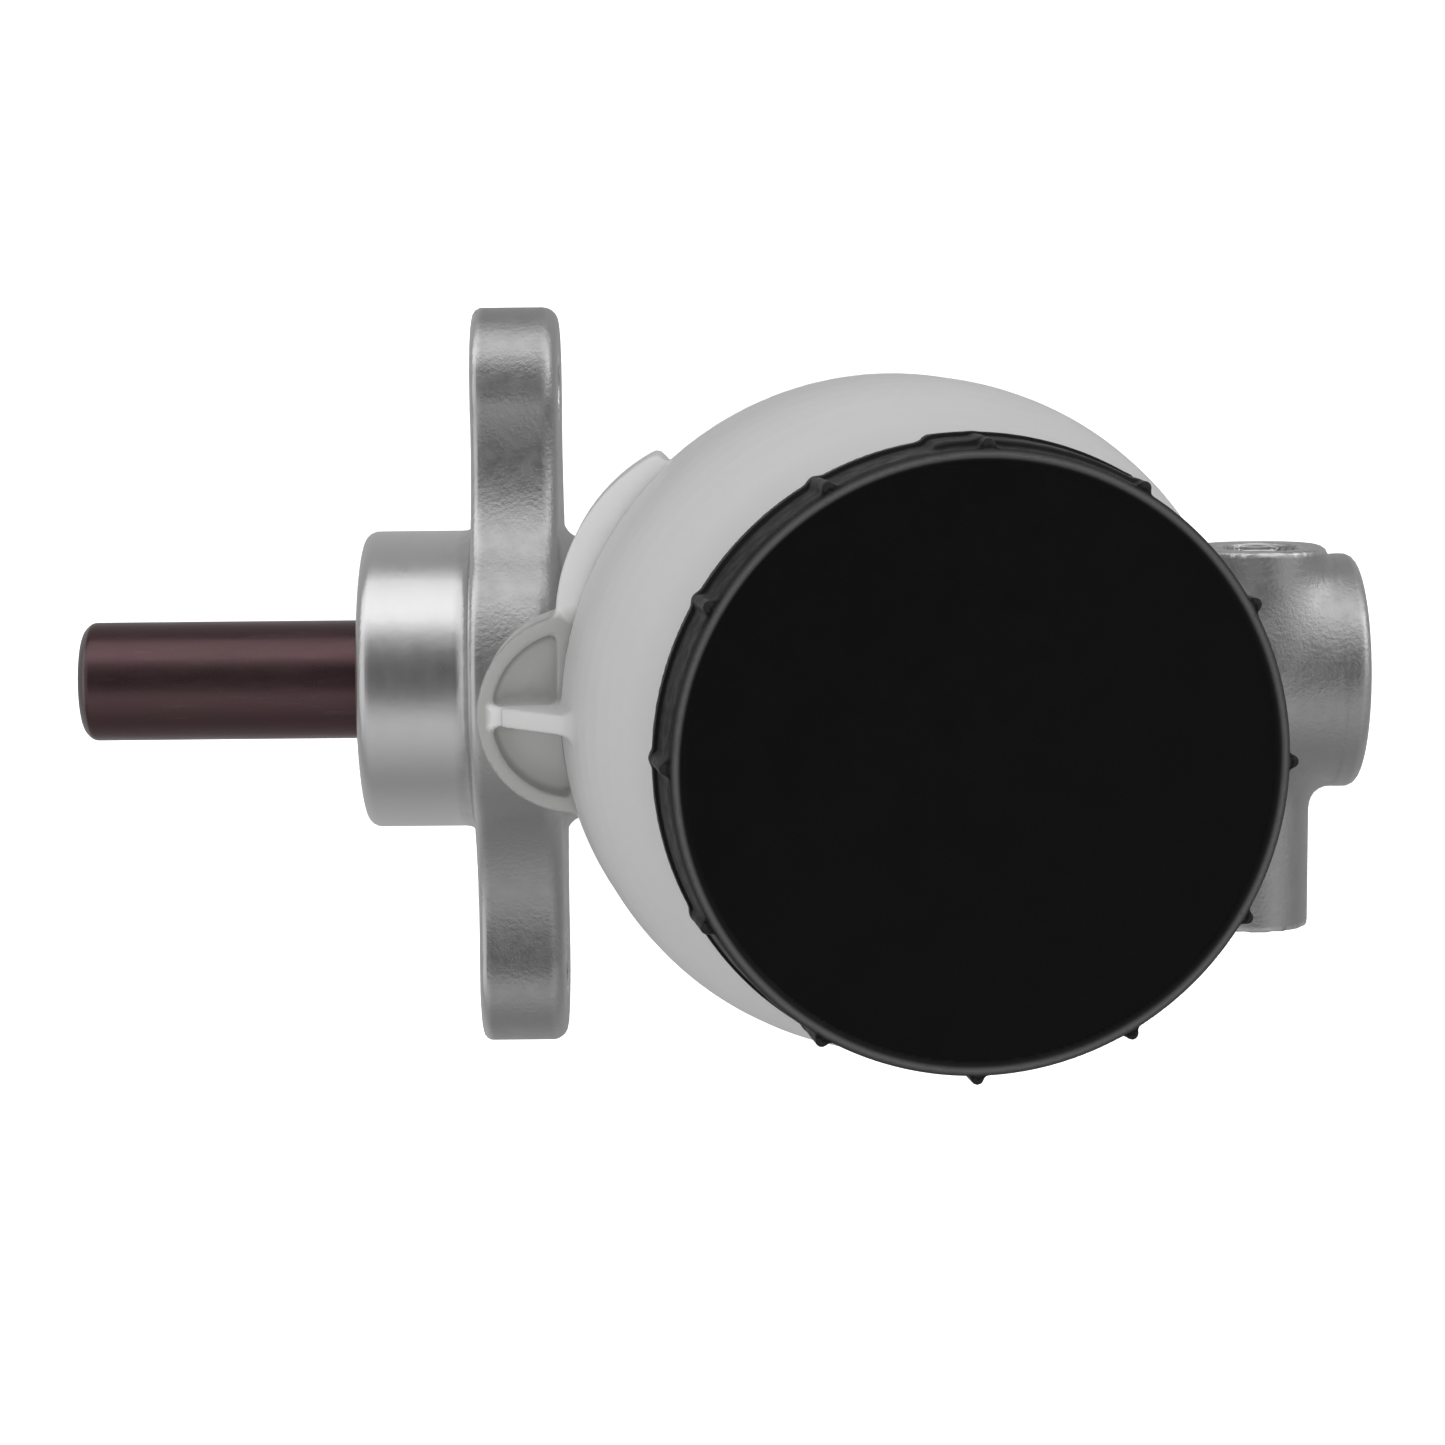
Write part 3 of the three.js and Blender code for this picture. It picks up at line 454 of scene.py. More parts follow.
def anodised():
    f = Finish("brown_anodised", Metallic=0.9)
    hue = f.blend(f.noise(60, 3), grey(1, (0.122, 0.066, 0.080)), grey(1, (0.116, 0.074, 0.072)))
    scuffs = f.spread(f.noise(900, 4, 0.7, stretch=(0.12, 1, 1)), 0.58, 0.75, 0, 0.22)
    colour = f.blend(scuffs, hue, grey(0.24, (1, 0.86, 0.86)))
    colour = f.blend(f.spread(f.attribute("edge"), 0.4, 1.0, 0, 0.6), colour, grey(0.5))
    f.put("Base Color", colour)
    f.put("Roughness", f.spread(f.noise(500, 3, stretch=(0.3, 1, 1)), 0.3, 0.7, 0.24, 0.34))
    f.put("Normal", f.bump(f.noise(3200, 1, stretch=(1, 0.03, 0.03)), 0.00002, 0.6))
    return f.material


def steel(name, colour, tint=(1, 1, 1), rough=0.3):
    f = Finish(name, Metallic=1.0)
    base = f.blend(f.noise(250, 4), grey(colour, tint), grey(colour * 0.78, tint))
    f.put("Base Color", f.blend(f.spread(f.noise(1200, 4, 0.7), 0.6, 0.8, 0, 0.35), base, grey(0.2)))
    f.put("Roughness", f.spread(f.noise(600, 3), 0.3, 0.7, rough - 0.05, rough + 0.12))
    f.put("Normal", f.bump(f.noise(1800, 3), 0.00004, 0.5))
    return f.material


def rubber():
    f = Finish("black_rubber", Specular_IOR_Level=0.35)
    f.put("Base Color", f.blend(f.noise(400, 4), grey(0.010), grey(0.022)))
    f.put("Roughness", f.spread(f.noise(700, 3), 0.3, 0.7, 0.55, 0.75))
    f.put("Normal", f.bump(f.noise(2200, 3), 0.00006, 0.5))
    return f.material


def nylon():
    f = Finish("white_nylon", Subsurface_Weight=0.2, Subsurface_Scale=0.003)
    f.put("Base Color", f.blend(f.noise(90, 4), grey(0.70, (1, 0.985, 0.93)), grey(0.62, (1, 0.97, 0.90))))
    f.put("Roughness", f.spread(f.noise(400, 3), 0.3, 0.7, 0.42, 0.56))
    f.put("Normal", f.bump(f.noise(1600, 3), 0.00004, 0.4))
    return f.material


def milky_plastic():
    f = Finish("milky_plastic", IOR=1.5, Transmission_Weight=0.22, Subsurface_Weight=0.35,
               Subsurface_Scale=0.006)
    f.shader.inputs["Subsurface Radius"].default_value = (1.0, 1.0, 0.95)
    edge = f.attribute("edge")
    body = f.blend(f.noise(45, 4), grey(0.94, (1, 1, 0.997)), grey(0.90, (1, 0.999, 0.995)))
    colour = f.blend(f.spread(edge, 0.1, -0.8, 0, 0.25), body, grey(0.5, (1, 0.99, 0.96)))
    # Painted shade: the dish's rim and inside are darkened where dark metal shows through the thin wall.
    colour = f.blend(f.math("MULTIPLY", f.attribute("thin"), 0.8), colour, grey(0.35, (1, 1, 0.98)))
    f.put("Base Color", colour)
    f.put("Roughness", f.spread(f.noise(350, 3), 0.3, 0.7, 0.36, 0.48))
    normal = f.bump(f.noise(60, 2), 0.0006, 0.15)
    f.put("Normal", f.bump(f.noise(1500, 3), 0.00003, 0.4, normal))
    return f.material


def black_plastic():
    f = Finish("black_plastic", Specular_IOR_Level=0.13)
    edge = f.attribute("edge")
    body = f.blend(f.noise(160, 4), grey(0.0010), grey(0.0024))
    colour = f.blend(f.spread(edge, 0.45, 0.9, 0, 0.6), body, grey(0.03))
    # Painted highlight: the crest of the cap's rim is made lighter in colour.
    colour = f.blend(f.attribute("crest"), colour, grey(0.10))
    f.put("Base Color", colour)
    f.put("Roughness", f.spread(f.noise(520, 3), 0.3, 0.7, 0.36, 0.50))
    f.put("Normal", f.bump(f.noise(2400, 3), 0.00005, 0.5))
    return f.material


FINISHES = {
    "cast_aluminium": cast_aluminium(),
    "anodised_aluminium": anodised(),
    "plated_steel": steel("plated_steel", 0.55),
    "copper": steel("copper", 0.85, (1, 0.50, 0.32), 0.34),
    "white_nylon": nylon(),
    "black_rubber": rubber(),
    "milky_plastic": milky_plastic(),
    "black_plastic": black_plastic(),
}

SLOT_OF = {part["node"]: part["material_slot"] for part in frame["record"]["subparts"]}
BODY_OF = {node: body for body, nodes in frame["record"]["behaviour"]["bodies"].items() for node in nodes}


def dress(obj, slot):
    obj.data.materials.clear()
    obj.data.materials.append(FINISHES[slot])
    return obj


def stand_for(obj, node):
    """obj takes a CAD node's place, body and finish."""
    dress(obj, SLOT_OF[node])
    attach(obj, BODY_OF[node])
    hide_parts(node)
    return obj


# ---------------------------------------------------------------- cylinder


def flange(x, y, z):
    """Two ears and a disc joined by hollows; the front edge is well rounded."""
    u, v = np.abs(y), np.abs(z)
    to_disc, to_ear = DISC_RADIUS + HOLLOW_RADIUS, EAR_RADIUS + HOLLOW_RADIUS
    hollow_u = (to_disc**2 - to_ear**2 + STUD_REACH**2) / (2 * STUD_REACH)
    hollow_v = math.sqrt(to_disc**2 - hollow_u**2)
    disc = np.hypot(u, v) - DISC_RADIUS
    ear = np.hypot(u - STUD_REACH, v) - EAR_RADIUS
    over = (hollow_u * v - hollow_v * u) / to_disc
    past = (hollow_v * (u - STUD_REACH) + (STUD_REACH - hollow_u) * v) / to_ear
    web = np.maximum(np.maximum(over, past), HOLLOW_RADIUS - np.hypot(u - hollow_u, v - hollow_v))
    plan = np.minimum(np.minimum(disc, ear), web)
    front = 2.4 + 1.1 * np.exp(-((y / 28) ** 2))
    edge = np.where(x > FLANGE_THICKNESS / 2, front, 1.4)
    return extruded(plan, x, 0, FLANGE_THICKNESS, edge)


def barrel(x, radial):
    """The tapering barrel, rounded at its closed end."""
    edge = 1.6
    rear, middle, front, collar = 21.5, 19.15, 18.0, 18.15
    profile = [
        (0, 0), (0, rear - edge), (46, rear - edge), (62, middle - edge), (104, front - edge),
        (132.4, front - edge), (132.9, collar - edge), (BARREL_END - edge, collar - edge),
        (BARREL_END - edge, 0),
    ]
    return outline(x, radial, profile) - edge


def cylinder_cuts(x, y, z):
    """Bore, ports, inlets and holes, one by one."""
    radial = np.hypot(y, z)
    yield capped(radial, x, 16, SPIGOT_START - 3, -4)
    yield capped(radial, x, 17.3, *CLIP_GROOVE)
    yield capped(radial, x, BORE_RADIUS, -5, BORE_STEP)
    yield capped(radial, x, SPRING_BORE, BORE_STEP - 1, BORE_END)
    for inlet in INLETS:
        yield capped(np.hypot(x - inlet, y), z, 8.2, 17.5, 30)
        yield capped(np.hypot(x - inlet + 4, y), z, 2, BORE_RADIUS - 1, 19)
    for at, level, side, face, _ in OUTLETS:
        across, out = np.hypot(x - at, z - level), side * y
        floor = face - OUTLET_DEPTH
        yield capped(across, out, OUTLET_THREAD, floor, face + 3)
        yield capped(across, out, OUTLET_THREAD + 0.7, face - 0.6, face + 3)
        yield capped(across, out, 3.4, floor - 2, floor + 1)
        yield capped(across, out, 1.6, 5, floor)
    yield capped(np.hypot(np.abs(y) - STUD_REACH, z), x, 4.4, -3, FLANGE_THICKNESS + 3)
    yield capped(np.hypot(x - PIN_X, z - PIN_Z), y, 2.2, -8, 8)
    bolt = np.hypot(x - STOP_BOLT_X, y)
    yield capped(bolt, -z, 4.2, 15.5, STOP_BOLT_SEAT + 3)
    yield capped(bolt, -z, 2.9, 11, 17)


def cylinder_hollows(x, y, z):
    return functools.reduce(np.minimum, cylinder_cuts(x, y, z))


def cylinder_shape(x, y, z):
    """The casting: flange, barrel, spigot and bosses, less its hollows."""
    radial = np.hypot(y, z)
    body = melt(flange(x, y, z), barrel(x, radial), 4.5)
    body = melt(body, capped(radial, x, SPIGOT_RADIUS, SPIGOT_START, 6, 2), 1.0)
    for inlet in INLETS:
        body = melt(body, capped(np.hypot(x - inlet, y), z, 11.5, 0, INLET_TOP, 0.8), 4)
    lug = block(x, y, z, (PIN_X - 6, -5, 12), (PIN_X + 6, 5, 28.2), 1.2)
    body = melt(body, lug, 3)
    for at, level, side, face, radius in OUTLETS:
        body = melt(body, capped(np.hypot(x - at, z - level), side * y, radius, 2, face, 0.5), 4)
    body = melt(body, capped(np.hypot(x - STOP_BOLT_X, y), -z, 7.5, 8, STOP_BOLT_SEAT, 0.7), 3)
    return carve(body, cylinder_hollows(x, y, z), 0.7)


def machined_faces(x, y, z):
    """1 on turned and milled faces, 0 where the casting is left as it is, less on the small outlet faces."""
    cut = (np.abs(cylinder_hollows(x, y, z)) < 0.25).astype(np.float32)
    cut = np.maximum(cut, np.clip((1.5 - x) / 1.0, 0, 1))
    for at, level, side, face, radius in OUTLETS:
        pad = (side * y > face - 0.9) & (np.hypot(x - at, z - level) < radius + 0.2)
        cut = np.where(pad, 0.15, cut)
    for inlet in INLETS:
        cut = np.maximum(cut, (z > INLET_TOP - 0.25) & (np.hypot(x - inlet, y) < 11.7))
    return np.maximum(cut, (z < -STOP_BOLT_SEAT + 0.25) & (np.hypot(x - STOP_BOLT_X, y) < 7.7))


def thread_ridge(name, at, level, side, face, node):
    """The thread inside an outlet: one wound ridge with a triangular section."""
    pitch, steps, turns, crest = 1.0, 40, 6, 0.55
    root, tip = OUTLET_THREAD + 0.08, OUTLET_THREAD - crest
    section = ((root, 0.46), (tip, 0.06), (tip, -0.06), (root, -0.46))
    points, faces = [], []
    for s in range(turns * steps + 1):
        angle = 2 * math.pi * s / steps
        along = face - 0.9 - pitch * s / steps
        for radial, shift in section:
            x, z = at + radial * math.cos(angle), level + radial * math.sin(angle)
            points.append((x, side * (along + shift), z))
    for s in range(turns * steps):
        a, b = 4 * s, 4 * (s + 1)
        faces += [(a + i, b + i, b + (i + 1) % 4, a + (i + 1) % 4) for i in range(4)]
    last = 4 * turns * steps
    faces += [(0, 1, 2, 3), (last + 3, last + 2, last + 1, last)]
    mesh = new_mesh(name, points, faces)
    face_outwards(mesh)
    mesh.set_sharp_from_angle(angle=math.radians(40))
    obj = placed(name, mesh)
    dress(obj, SLOT_OF[node])
    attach(obj, BODY_OF[node])
    return obj


cylinder = sculpted(
    "cylinder_casting",
    cylinder_shape,
    (SPIGOT_START, -STUD_REACH - EAR_RADIUS, -DISC_RADIUS),
    (BARREL_END, STUD_REACH + EAR_RADIUS, 28.2),
    cell=0.8,
    keep=1.0,
    masks=[("machined", machined_faces)],
)
stand_for(cylinder, "cylinder_body")
for label, (at, level, side, face, _) in zip(("upper", "lower", "primary"), OUTLETS):
    thread_ridge(f"{label}_outlet_thread", at, level, side, face, "cylinder_body")
    floor = face - OUTLET_DEPTH - 2 + GAP
    seat = [(1.6, side * floor), (3.1, side * floor), (3.1, side * (floor + 2)),
            (2.0, side * (floor + 4.2)), (1.6, side * (floor + 4.2))]
    stand_for(turned(f"{label}_flare_seat", "y", seat, 0.15, centre=(at, 0, level), segments=48),
              f"{label}_outlet_seat")


# ---------------------------------------------------------------- piston rod and rear guide

rod_profile = [
    (0, ROD_END + SOCKET_DEPTH + 2.5),
    (SOCKET_RADIUS, ROD_END + SOCKET_DEPTH),
    (SOCKET_RADIUS, ROD_END + 0.8),
    (SOCKET_RADIUS + 0.8, ROD_END),
    (ROD_RADIUS - 1.3, ROD_END),
    (ROD_RADIUS, ROD_END + 1.3),
    (ROD_RADIUS, -3),
    (12.4, -3),
    (12.4, -1.8),
    (9.6, -1.8),
    (9.6, 1.9),
    (12.4, 1.9),
    (12.4, 3),
    (7.5, 4.5),
    (7.5, 28.8),
    (12.4, 30),
    (12.4, 31.4),
    (7.6, 31.4),
    (7.6, 36.5),
    (4.6, 36.5),
    (4.6, 39),
    (2, 39),
    (2, 29),
    (0, 29),
]
piston = turned("piston_rod", "x", rod_profile, 0.7, closed=False, segments=128)
stand_for(piston, "primary_piston")

# The rod's end is worn bright round its rim
heights = np.array([v.co.x for v in piston.data.vertices]) / MM
radii = np.array([math.hypot(v.co.y, v.co.z) for v in piston.data.vertices]) / MM
worn = ((heights < ROD_END + 1.2) & (radii > ROD_RADIUS - 1.4)) * 0.75
attribute = piston.data.attributes.new("edge", "FLOAT", "POINT")
attribute.data.foreach_set("value", worn.astype(np.float32))

guide = [
    (9.5, GUIDE_REAR), (15.7, GUIDE_REAR), (15.7, -11), (13.7, -11), (13.7, -8.2), (15.7, -8.2),
    (15.7, -4.3), (12.6, -4.3), (12.6, -9.6), (9.5, -9.6),
]
stand_for(turned("rod_guide", "x", guide, 0.4), "piston_guide")
lip = [
    (9.5, -9.2), (12.3, -9.2), (12.3, -4.6), (11.4, -4.6), (11, -7.2), (10.3, -4.9), (9.5, -5),
]
stand_for(turned("rod_seal", "x", lip, 0.2), "guide_seal")


def circlip():
    """An internal retaining ring with two drilled eyes, open at the bottom."""
    half_gap = math.radians(16)
    start, end = -math.pi / 2 + half_gap, 3 * math.pi / 2 - half_gap

    def shape(x, y, z):
        radial = np.hypot(y, z)
        below = np.abs(np.arctan2(y, -z))
        plan = np.maximum(np.abs(radial - 15.7) - 1.3, (half_gap - below) * radial)
        eyes = [np.hypot(y - 14.1 * math.cos(turn), z - 14.1 * math.sin(turn)) for turn in (start, end)]
        for eye in eyes:
            plan = melt(plan, eye - 2.1, 0.8)
        for eye in eyes:
            plan = np.maximum(plan, 0.9 - eye)
        return extruded(plan, x, *CLIP, 0.15)

    return sculpted("retaining_ring", shape, (CLIP[0], -17, -17), (CLIP[1], 17, 17), cell=0.3, keep=0.35)


stand_for(circlip(), "circlip")


# ---------------------------------------------------------------- stop bolt, pin and grommets


def bolt_shape(x, y, z):
    """The stop bolt: hexagon head, shank and the tip that limits the front piston."""
    u, v = x - STOP_BOLT_X, -z
    radial = np.hypot(u, y)
    hexagon = np.maximum(np.abs(y), np.abs(u) * math.cos(math.pi / 6) + np.abs(y) * 0.5) - 5
    head = extruded(hexagon, v, 23.6, 28.6, 0.3)
    head = np.maximum(head, (radial - 5.1) * 0.5 + (v - 28.6) * 0.85)
    shank = capped(radial, v, 3.9, 16, 25, 0.5)
    tip = capped(radial, v, 2.5, 8.3, 17, 0.4)
    return np.minimum(np.minimum(head, shank), tip)


stand_for(
    sculpted("stop_screw", bolt_shape, (82, -5.8, -28.6), (94, 5.8, -8.3), cell=0.35, keep=0.4),
    "stop_bolt",
)
washer = [(4.2, -23.3), (6.6, -23.3), (6.6, -22.3), (4.2, -22.3)]
stand_for(
    turned("sealing_washer", "z", washer, 0.25, centre=(STOP_BOLT_X, 0, 0), segments=64),
    "stop_bolt_washer",
)
for label, inlet in zip(("rear", "front"), INLETS):
    collar = [
        (4.9, 17.8), (7.3, 17.8), (7.9, 18.9), (7.9, 26.3), (9.7, 26.3),
        (9.7, 28.1), (9.1, 28.6), (4.9, 28.6),
    ]
    stand_for(turned(f"{label}_inlet_grommet", "z", collar, 0.35, centre=(inlet, 0, 0), segments=80),
              f"grommet_{label}")


def pin_shape(x, y, z):
    """The slotted spring pin that holds the reservoir."""
    u, v = x - PIN_X, z - PIN_Z
    radial = np.hypot(u, v)
    sleeve = np.abs(radial - 1.55) - 0.35
    slot = np.maximum(np.abs(v) - 0.55, -u)
    return extruded(np.maximum(sleeve, -slot), y, -10.5, 10.5, 0.12)


stand_for(sculpted("roll_pin", pin_shape, (PIN_X - 2, -10.5, PIN_Z - 2), (PIN_X + 2, 10.5, PIN_Z + 2),
                   cell=0.22, keep=0.3), "reservoir_pin")


# ---------------------------------------------------------------- reservoir


def on_bottle(x, z):
    """Distance across and height on the leaning bottle's axis, of a point in the part's frame."""
    across = (x - BOTTLE_X) * math.cos(LEAN) - z * math.sin(LEAN)
    height = (x - BOTTLE_X) * math.sin(LEAN) + z * math.cos(LEAN)
    return across, height


def tray_plan(inset, end_degrees):
    """Corners of the tray's square rear corner, seen from above."""
    corners = [(WELL_X, inset), (TRAY_REAR + inset, inset)]
    for i in range(19):
        angle = math.radians(180 + (end_degrees - 180) * i / 18)
        radius = TRAY_CORNER - inset
        along, across = radius * math.cos(angle), radius * math.sin(angle)
        corners.append((TRAY_REAR + TRAY_CORNER + along, TRAY_SIDE + across))
    return corners


def lower_shape(x, y, z):
    """The reservoir's lower half: well, tray, drip dish with its rib, fluid passages and pin ears."""
    across, height = on_bottle(x, z)
    well = np.hypot(x - WELL_X, y)
    rim_top, rim_bottom = SEAM - GAP / 2, SEAM - GAP / 2 - WALL
    bottle = np.hypot(across, y)
    shell = capped(well, z, WELL_RADIUS, FLOOR, 80, 2)
    tray = extruded(outline(x, y, tray_plan(1.2, 118)) - 1.2, z, FLOOR, 80, 2)
    shell = np.minimum(shell, tray)
    shell = melt(shell, capped(bottle, height, BOTTLE_RADIUS, rim_bottom, 80, 0.5), 1.0)
    dish = np.hypot(x - DISH_X, y)
    bowl = capped(dish, z, DISH_RADIUS, DISH_BOTTOM, 80, 2.2)
    bowl = carve(bowl, capped(dish, z, DISH_RADIUS - WALL, DISH_BOTTOM + DISH_FLOOR, 90, 8), 2.6)
    rib = block(x, y, z, (DISH_X - DISH_RADIUS + 1, -RIB_HALF, DISH_BOTTOM + 1), (17, RIB_HALF, 80), 0.3)
    bowl = melt(bowl, rib, 1.4)
    shell = melt(shell, bowl, 1.2)
    shell = carve(shell, rim_top - height, 0.5)
    inner = capped(well, z, WELL_RADIUS - WALL, FLOOR + WALL, 80, 1.5)
    inner = np.minimum(inner, extruded(outline(x, y, tray_plan(WALL, 123)), z, FLOOR + WALL, 80, 1))
    mouth = np.minimum(height - rim_bottom, bottle - BOTTLE_RADIUS + WALL + 1)
    inner = np.maximum(inner, mouth)
    shell = carve(shell, inner, 0.5)
    shell = np.minimum(shell, block(x, y, z, (PIN_X - 1, -44.2, FLOOR + 1), (PIN_X + 1, 44.2, 36), 0.3))
    for inlet in INLETS:
        shell = melt(shell, capped(np.hypot(x - inlet, y), z, 4.6, 19, FLOOR + 1, 0.6), 1.5)
    ear = block(x, np.abs(y), z, (PIN_X - 5, 5.4, 20.5), (PIN_X + 5, 8.8, FLOOR + 1), 0.6)
    shell = melt(shell, ear, 1.0)
    hole = capped(np.hypot(x - PIN_X, z - PIN_Z), y, 2.2, -20, 20)
    for inlet in INLETS:
        hole = np.minimum(hole, capped(np.hypot(x - inlet, y), z, 3, 15, FLOOR + 4))
    return carve(shell, hole, 0.4)


def ridge(radial, angle, height, radius, bottom, first):
    """Two rounded thread ridges wound about the bottle's axis."""
    nearest = None
    for start in range(2):
        begins = first + start * math.pi
        turned_by = np.mod(angle - begins, 2 * math.pi)
        past = np.maximum(turned_by - THREAD_TURNS * 2 * math.pi, 0)
        turned_by = turned_by - np.where(past > (1 - THREAD_TURNS) * math.pi, 2 * math.pi, 0)
        along = np.clip(turned_by, 0, THREAD_TURNS * 2 * math.pi)
        rise = bottom + THREAD_LEAD * (along + first) / (2 * math.pi)
        off = (turned_by - along) * radial
        distance = np.sqrt((radial - radius) ** 2 + (height - rise) ** 2 + off**2) - 1.15
        nearest = distance if nearest is None else np.minimum(nearest, distance)
    return nearest


# Radius and height down the outside of the bottle and up the inside of its wall
BOTTLE_PROFILE = [
    (BOTTLE_RADIUS, SEAM + GAP / 2), (BOTTLE_RADIUS, 50), (47.75, 53.5), (47.3, 57), (46.55, 60.5),
    (45.5, 64), (44.15, 67.5), (42.6, 71), (40.95, 74.3), (39.4, 77.5), (38.3, 80), (37.4, 82.5),
    (36.75, 84.8),
    (NECK_RADIUS, 87), (NECK_RADIUS, NECK_RIM), (NECK_BORE + 1.5, NECK_RIM), (NECK_BORE + 1.5, NECK_LEDGE),
    (NECK_BORE, NECK_LEDGE), (NECK_BORE, 86), (36.4, 77.5), (42.0, 65), (BOTTLE_RADIUS - WALL, 52),
    (BOTTLE_RADIUS - WALL, SEAM + GAP / 2),
]


def upper_shape(x, y, z):
    """The reservoir's bottle, its gusset over the dish and the thread on its neck."""
    radial = np.hypot(x, y)
    inset = 0.35
    wall = outline(radial, z, BOTTLE_PROFILE)
    bottom = SEAM + GAP / 2
    tip = DISH_X - DISH_RADIUS - BOTTLE_X - bottom * math.sin(LEAN) + 3
    plan = outline(x, z, [(tip + inset, bottom + inset), (-46.5, bottom + inset), (-46.5, bottom + 14.4),
                          (tip + inset, bottom + 1.3)]) - inset
    gusset = extruded(plan, y, -RIB_HALF, RIB_HALF, 0.4)
    gusset = np.maximum(gusset, BOTTLE_RADIUS - WALL - radial)
    wall = melt(wall, gusset, 1.6)
    return np.minimum(wall, ridge(radial, np.arctan2(y, x), z, 37, THREAD_BOTTOM, 0))


def cap_shape(x, y, z):
    """Screw cap: sunk top with a raised rim, twelve grip ribs and a thicker stretch of skirt."""
    radial, angle = np.hypot(x, y), np.arctan2(y, x)
    skirt, top, edge = CAP_SKIRT, CAP_TOP, CAP_RADIUS
    profile = [
        (0, CAP_ROOF), (CAP_BORE, CAP_ROOF), (CAP_BORE, skirt), (edge - 0.1, skirt),
        (edge, skirt + 0.1), (edge, skirt + 1.9), (edge - 0.45, skirt + 2.4),
        (edge - 0.75, top - 1.4), (edge - 0.9, top - 0.6), (edge - 1.2, top - 0.18),
        (edge - 1.6, top), (edge - 2.0, top - 0.14), (edge - 2.35, top - 0.5),
        (edge - 2.8, top - 0.8), (20, top - 0.6), (0, top - 0.6),
    ]
    pad_middle, pad_half = math.radians(78), math.radians(20)
    off = np.abs(np.mod(angle - pad_middle + math.pi, 2 * math.pi) - math.pi) - pad_half
    swell = 1 / (1 + np.exp(np.clip(off * radial / 0.25, -30, 30)))
    low = 1 / (1 + np.exp(np.clip((z - CAP_TOP + 3.2) / 0.3, -30, 30)))
    body = outline(radial - 0.75 * swell * low * (radial > CAP_BORE + 1), z, profile)
    step = 2 * math.pi / 12
    near = np.mod(angle + RIB_TURN + step / 2, step) - step / 2
    along, across = radial * np.cos(near), radial * np.sin(near)
    grip = capped(np.hypot(along - (CAP_RADIUS - 0.4), across), z, 0.82, CAP_SKIRT, CAP_TOP - 0.5, 0.65)
    body = melt(body, grip, 0.9)
    thread = ridge(radial, angle, z, 38.5, THREAD_BOTTOM + THREAD_LEAD / 4, -math.pi / 4)
    return np.minimum(body, thread)


def cap_rim_painted_highlight(x, y, z):
    """1 along the crest of the cap's rim, where a highlight is painted into the colour."""
    return np.exp(-(((np.hypot(x, y) - CAP_RADIUS + 1.6) / 0.4) ** 2)) * (z > CAP_TOP - 0.7)


def dish_painted_shade(x, y, z):
    """Painted shade: 1 on the rim of the dish, where dark metal shows through the thin wall, less inside it,
    and 0 elsewhere.
    """
    reach = np.hypot(x - DISH_X, y)
    dish = np.clip((DISH_RADIUS + 0.6 - reach) / 0.6, 0, 1)
    rib = np.clip(np.maximum(np.abs(y) - RIB_HALF - 0.1, reach - DISH_RADIUS + WALL - 0.4) / 0.5, 0, 1)
    depth = SEAM - on_bottle(x, z)[1]
    return dish * rib * np.clip((4.5 - depth) / 2.5, 0.38, 1) * np.clip((27 - x) / 3, 0, 1)


# The reservoir base carries a mask for the shade painted on its dish.
stand_for(
    sculpted("reservoir_base", lower_shape, (2.7, -48, 19), (111, 48, 47), cell=0.6, keep=0.35,
             masks=[("thin", dish_painted_shade)]),
    "reservoir_lower",
)
stand_for(
    sculpted("reservoir_bottle", upper_shape, (-60, -48, SEAM), (48, 48, NECK_RIM), cell=0.6, keep=0.3,
             matrix=TO_BOTTLE),
    "reservoir_upper",
)
# The cap carries a mask for the highlight painted along its rim.
stand_for(
    sculpted("screw_cap", cap_shape, (-42.3, -42.3, CAP_SKIRT), (42.3, 42.3, CAP_TOP), cell=0.42, keep=0.35,
             matrix=TO_BOTTLE, masks=[("crest", cap_rim_painted_highlight)]),
    "filler_cap",
)

bellows = [
    (0, 93.4), (18, 93.4), (20, 91.6), (24, 91.6), (27, 98.5), (36, 98.5), (36, 99.7),
    (26, 99.7), (23, 92.8), (21, 92.8), (19, 94.6), (0, 94.6),
]
stand_for(turned("cap_bellows", "z", bellows, 0.8, closed=False, matrix=TO_BOTTLE), "cap_diaphragm")


def strainer_shape(x, y, z):
    """The basket in the filler neck, with eight windows and six holes in its floor."""
    radial, angle = np.hypot(x, y), np.arctan2(y, x)
    profile = [
        (0, 76), (30.6, 76), (31.8, NECK_LEDGE + GAP), (NECK_BORE + 1.1, NECK_LEDGE + GAP),
        (NECK_BORE + 1.1, 97.8), (30.4, 97.8), (29, 77.4), (0, 77.4),
    ]
    basket = outline(radial, z, profile)
    near = np.mod(angle + math.pi / 8, math.pi / 4) - math.pi / 8
    window = np.maximum(extruded(np.abs(radial * np.sin(near)) - 7, z, 80, 92, 1), 24 - radial)
    sixth = np.mod(angle + math.pi / 6, math.pi / 3) - math.pi / 6
    hole = capped(np.hypot(radial * np.cos(sixth) - 18, radial * np.sin(sixth)), z, 6, 74, 79)
    return carve(basket, np.minimum(window, hole), 0.4)


stand_for(
    sculpted("filler_basket", strainer_shape, (-34, -34, 76), (34, 34, 97.8), cell=0.6, keep=0.3,
             matrix=TO_BOTTLE),
    "filler_strainer",
)

# The CAD nodes still shown keep their shapes, with finishes and softened edges
for name, node in frame["nodes"].items():
    if not node.hide_render:
        dress(node, SLOT_OF[name])
        node.data.shade_smooth()
        node.data.set_sharp_from_angle(angle=math.radians(35))
        soften = node.modifiers.new("soft_edges", "BEVEL")
        soften.width, soften.segments, soften.limit_method = 0.12 * MM, 2, "ANGLE"
        soften.angle_limit = math.radians(40)


# ---------------------------------------------------------------- floor, light and camera


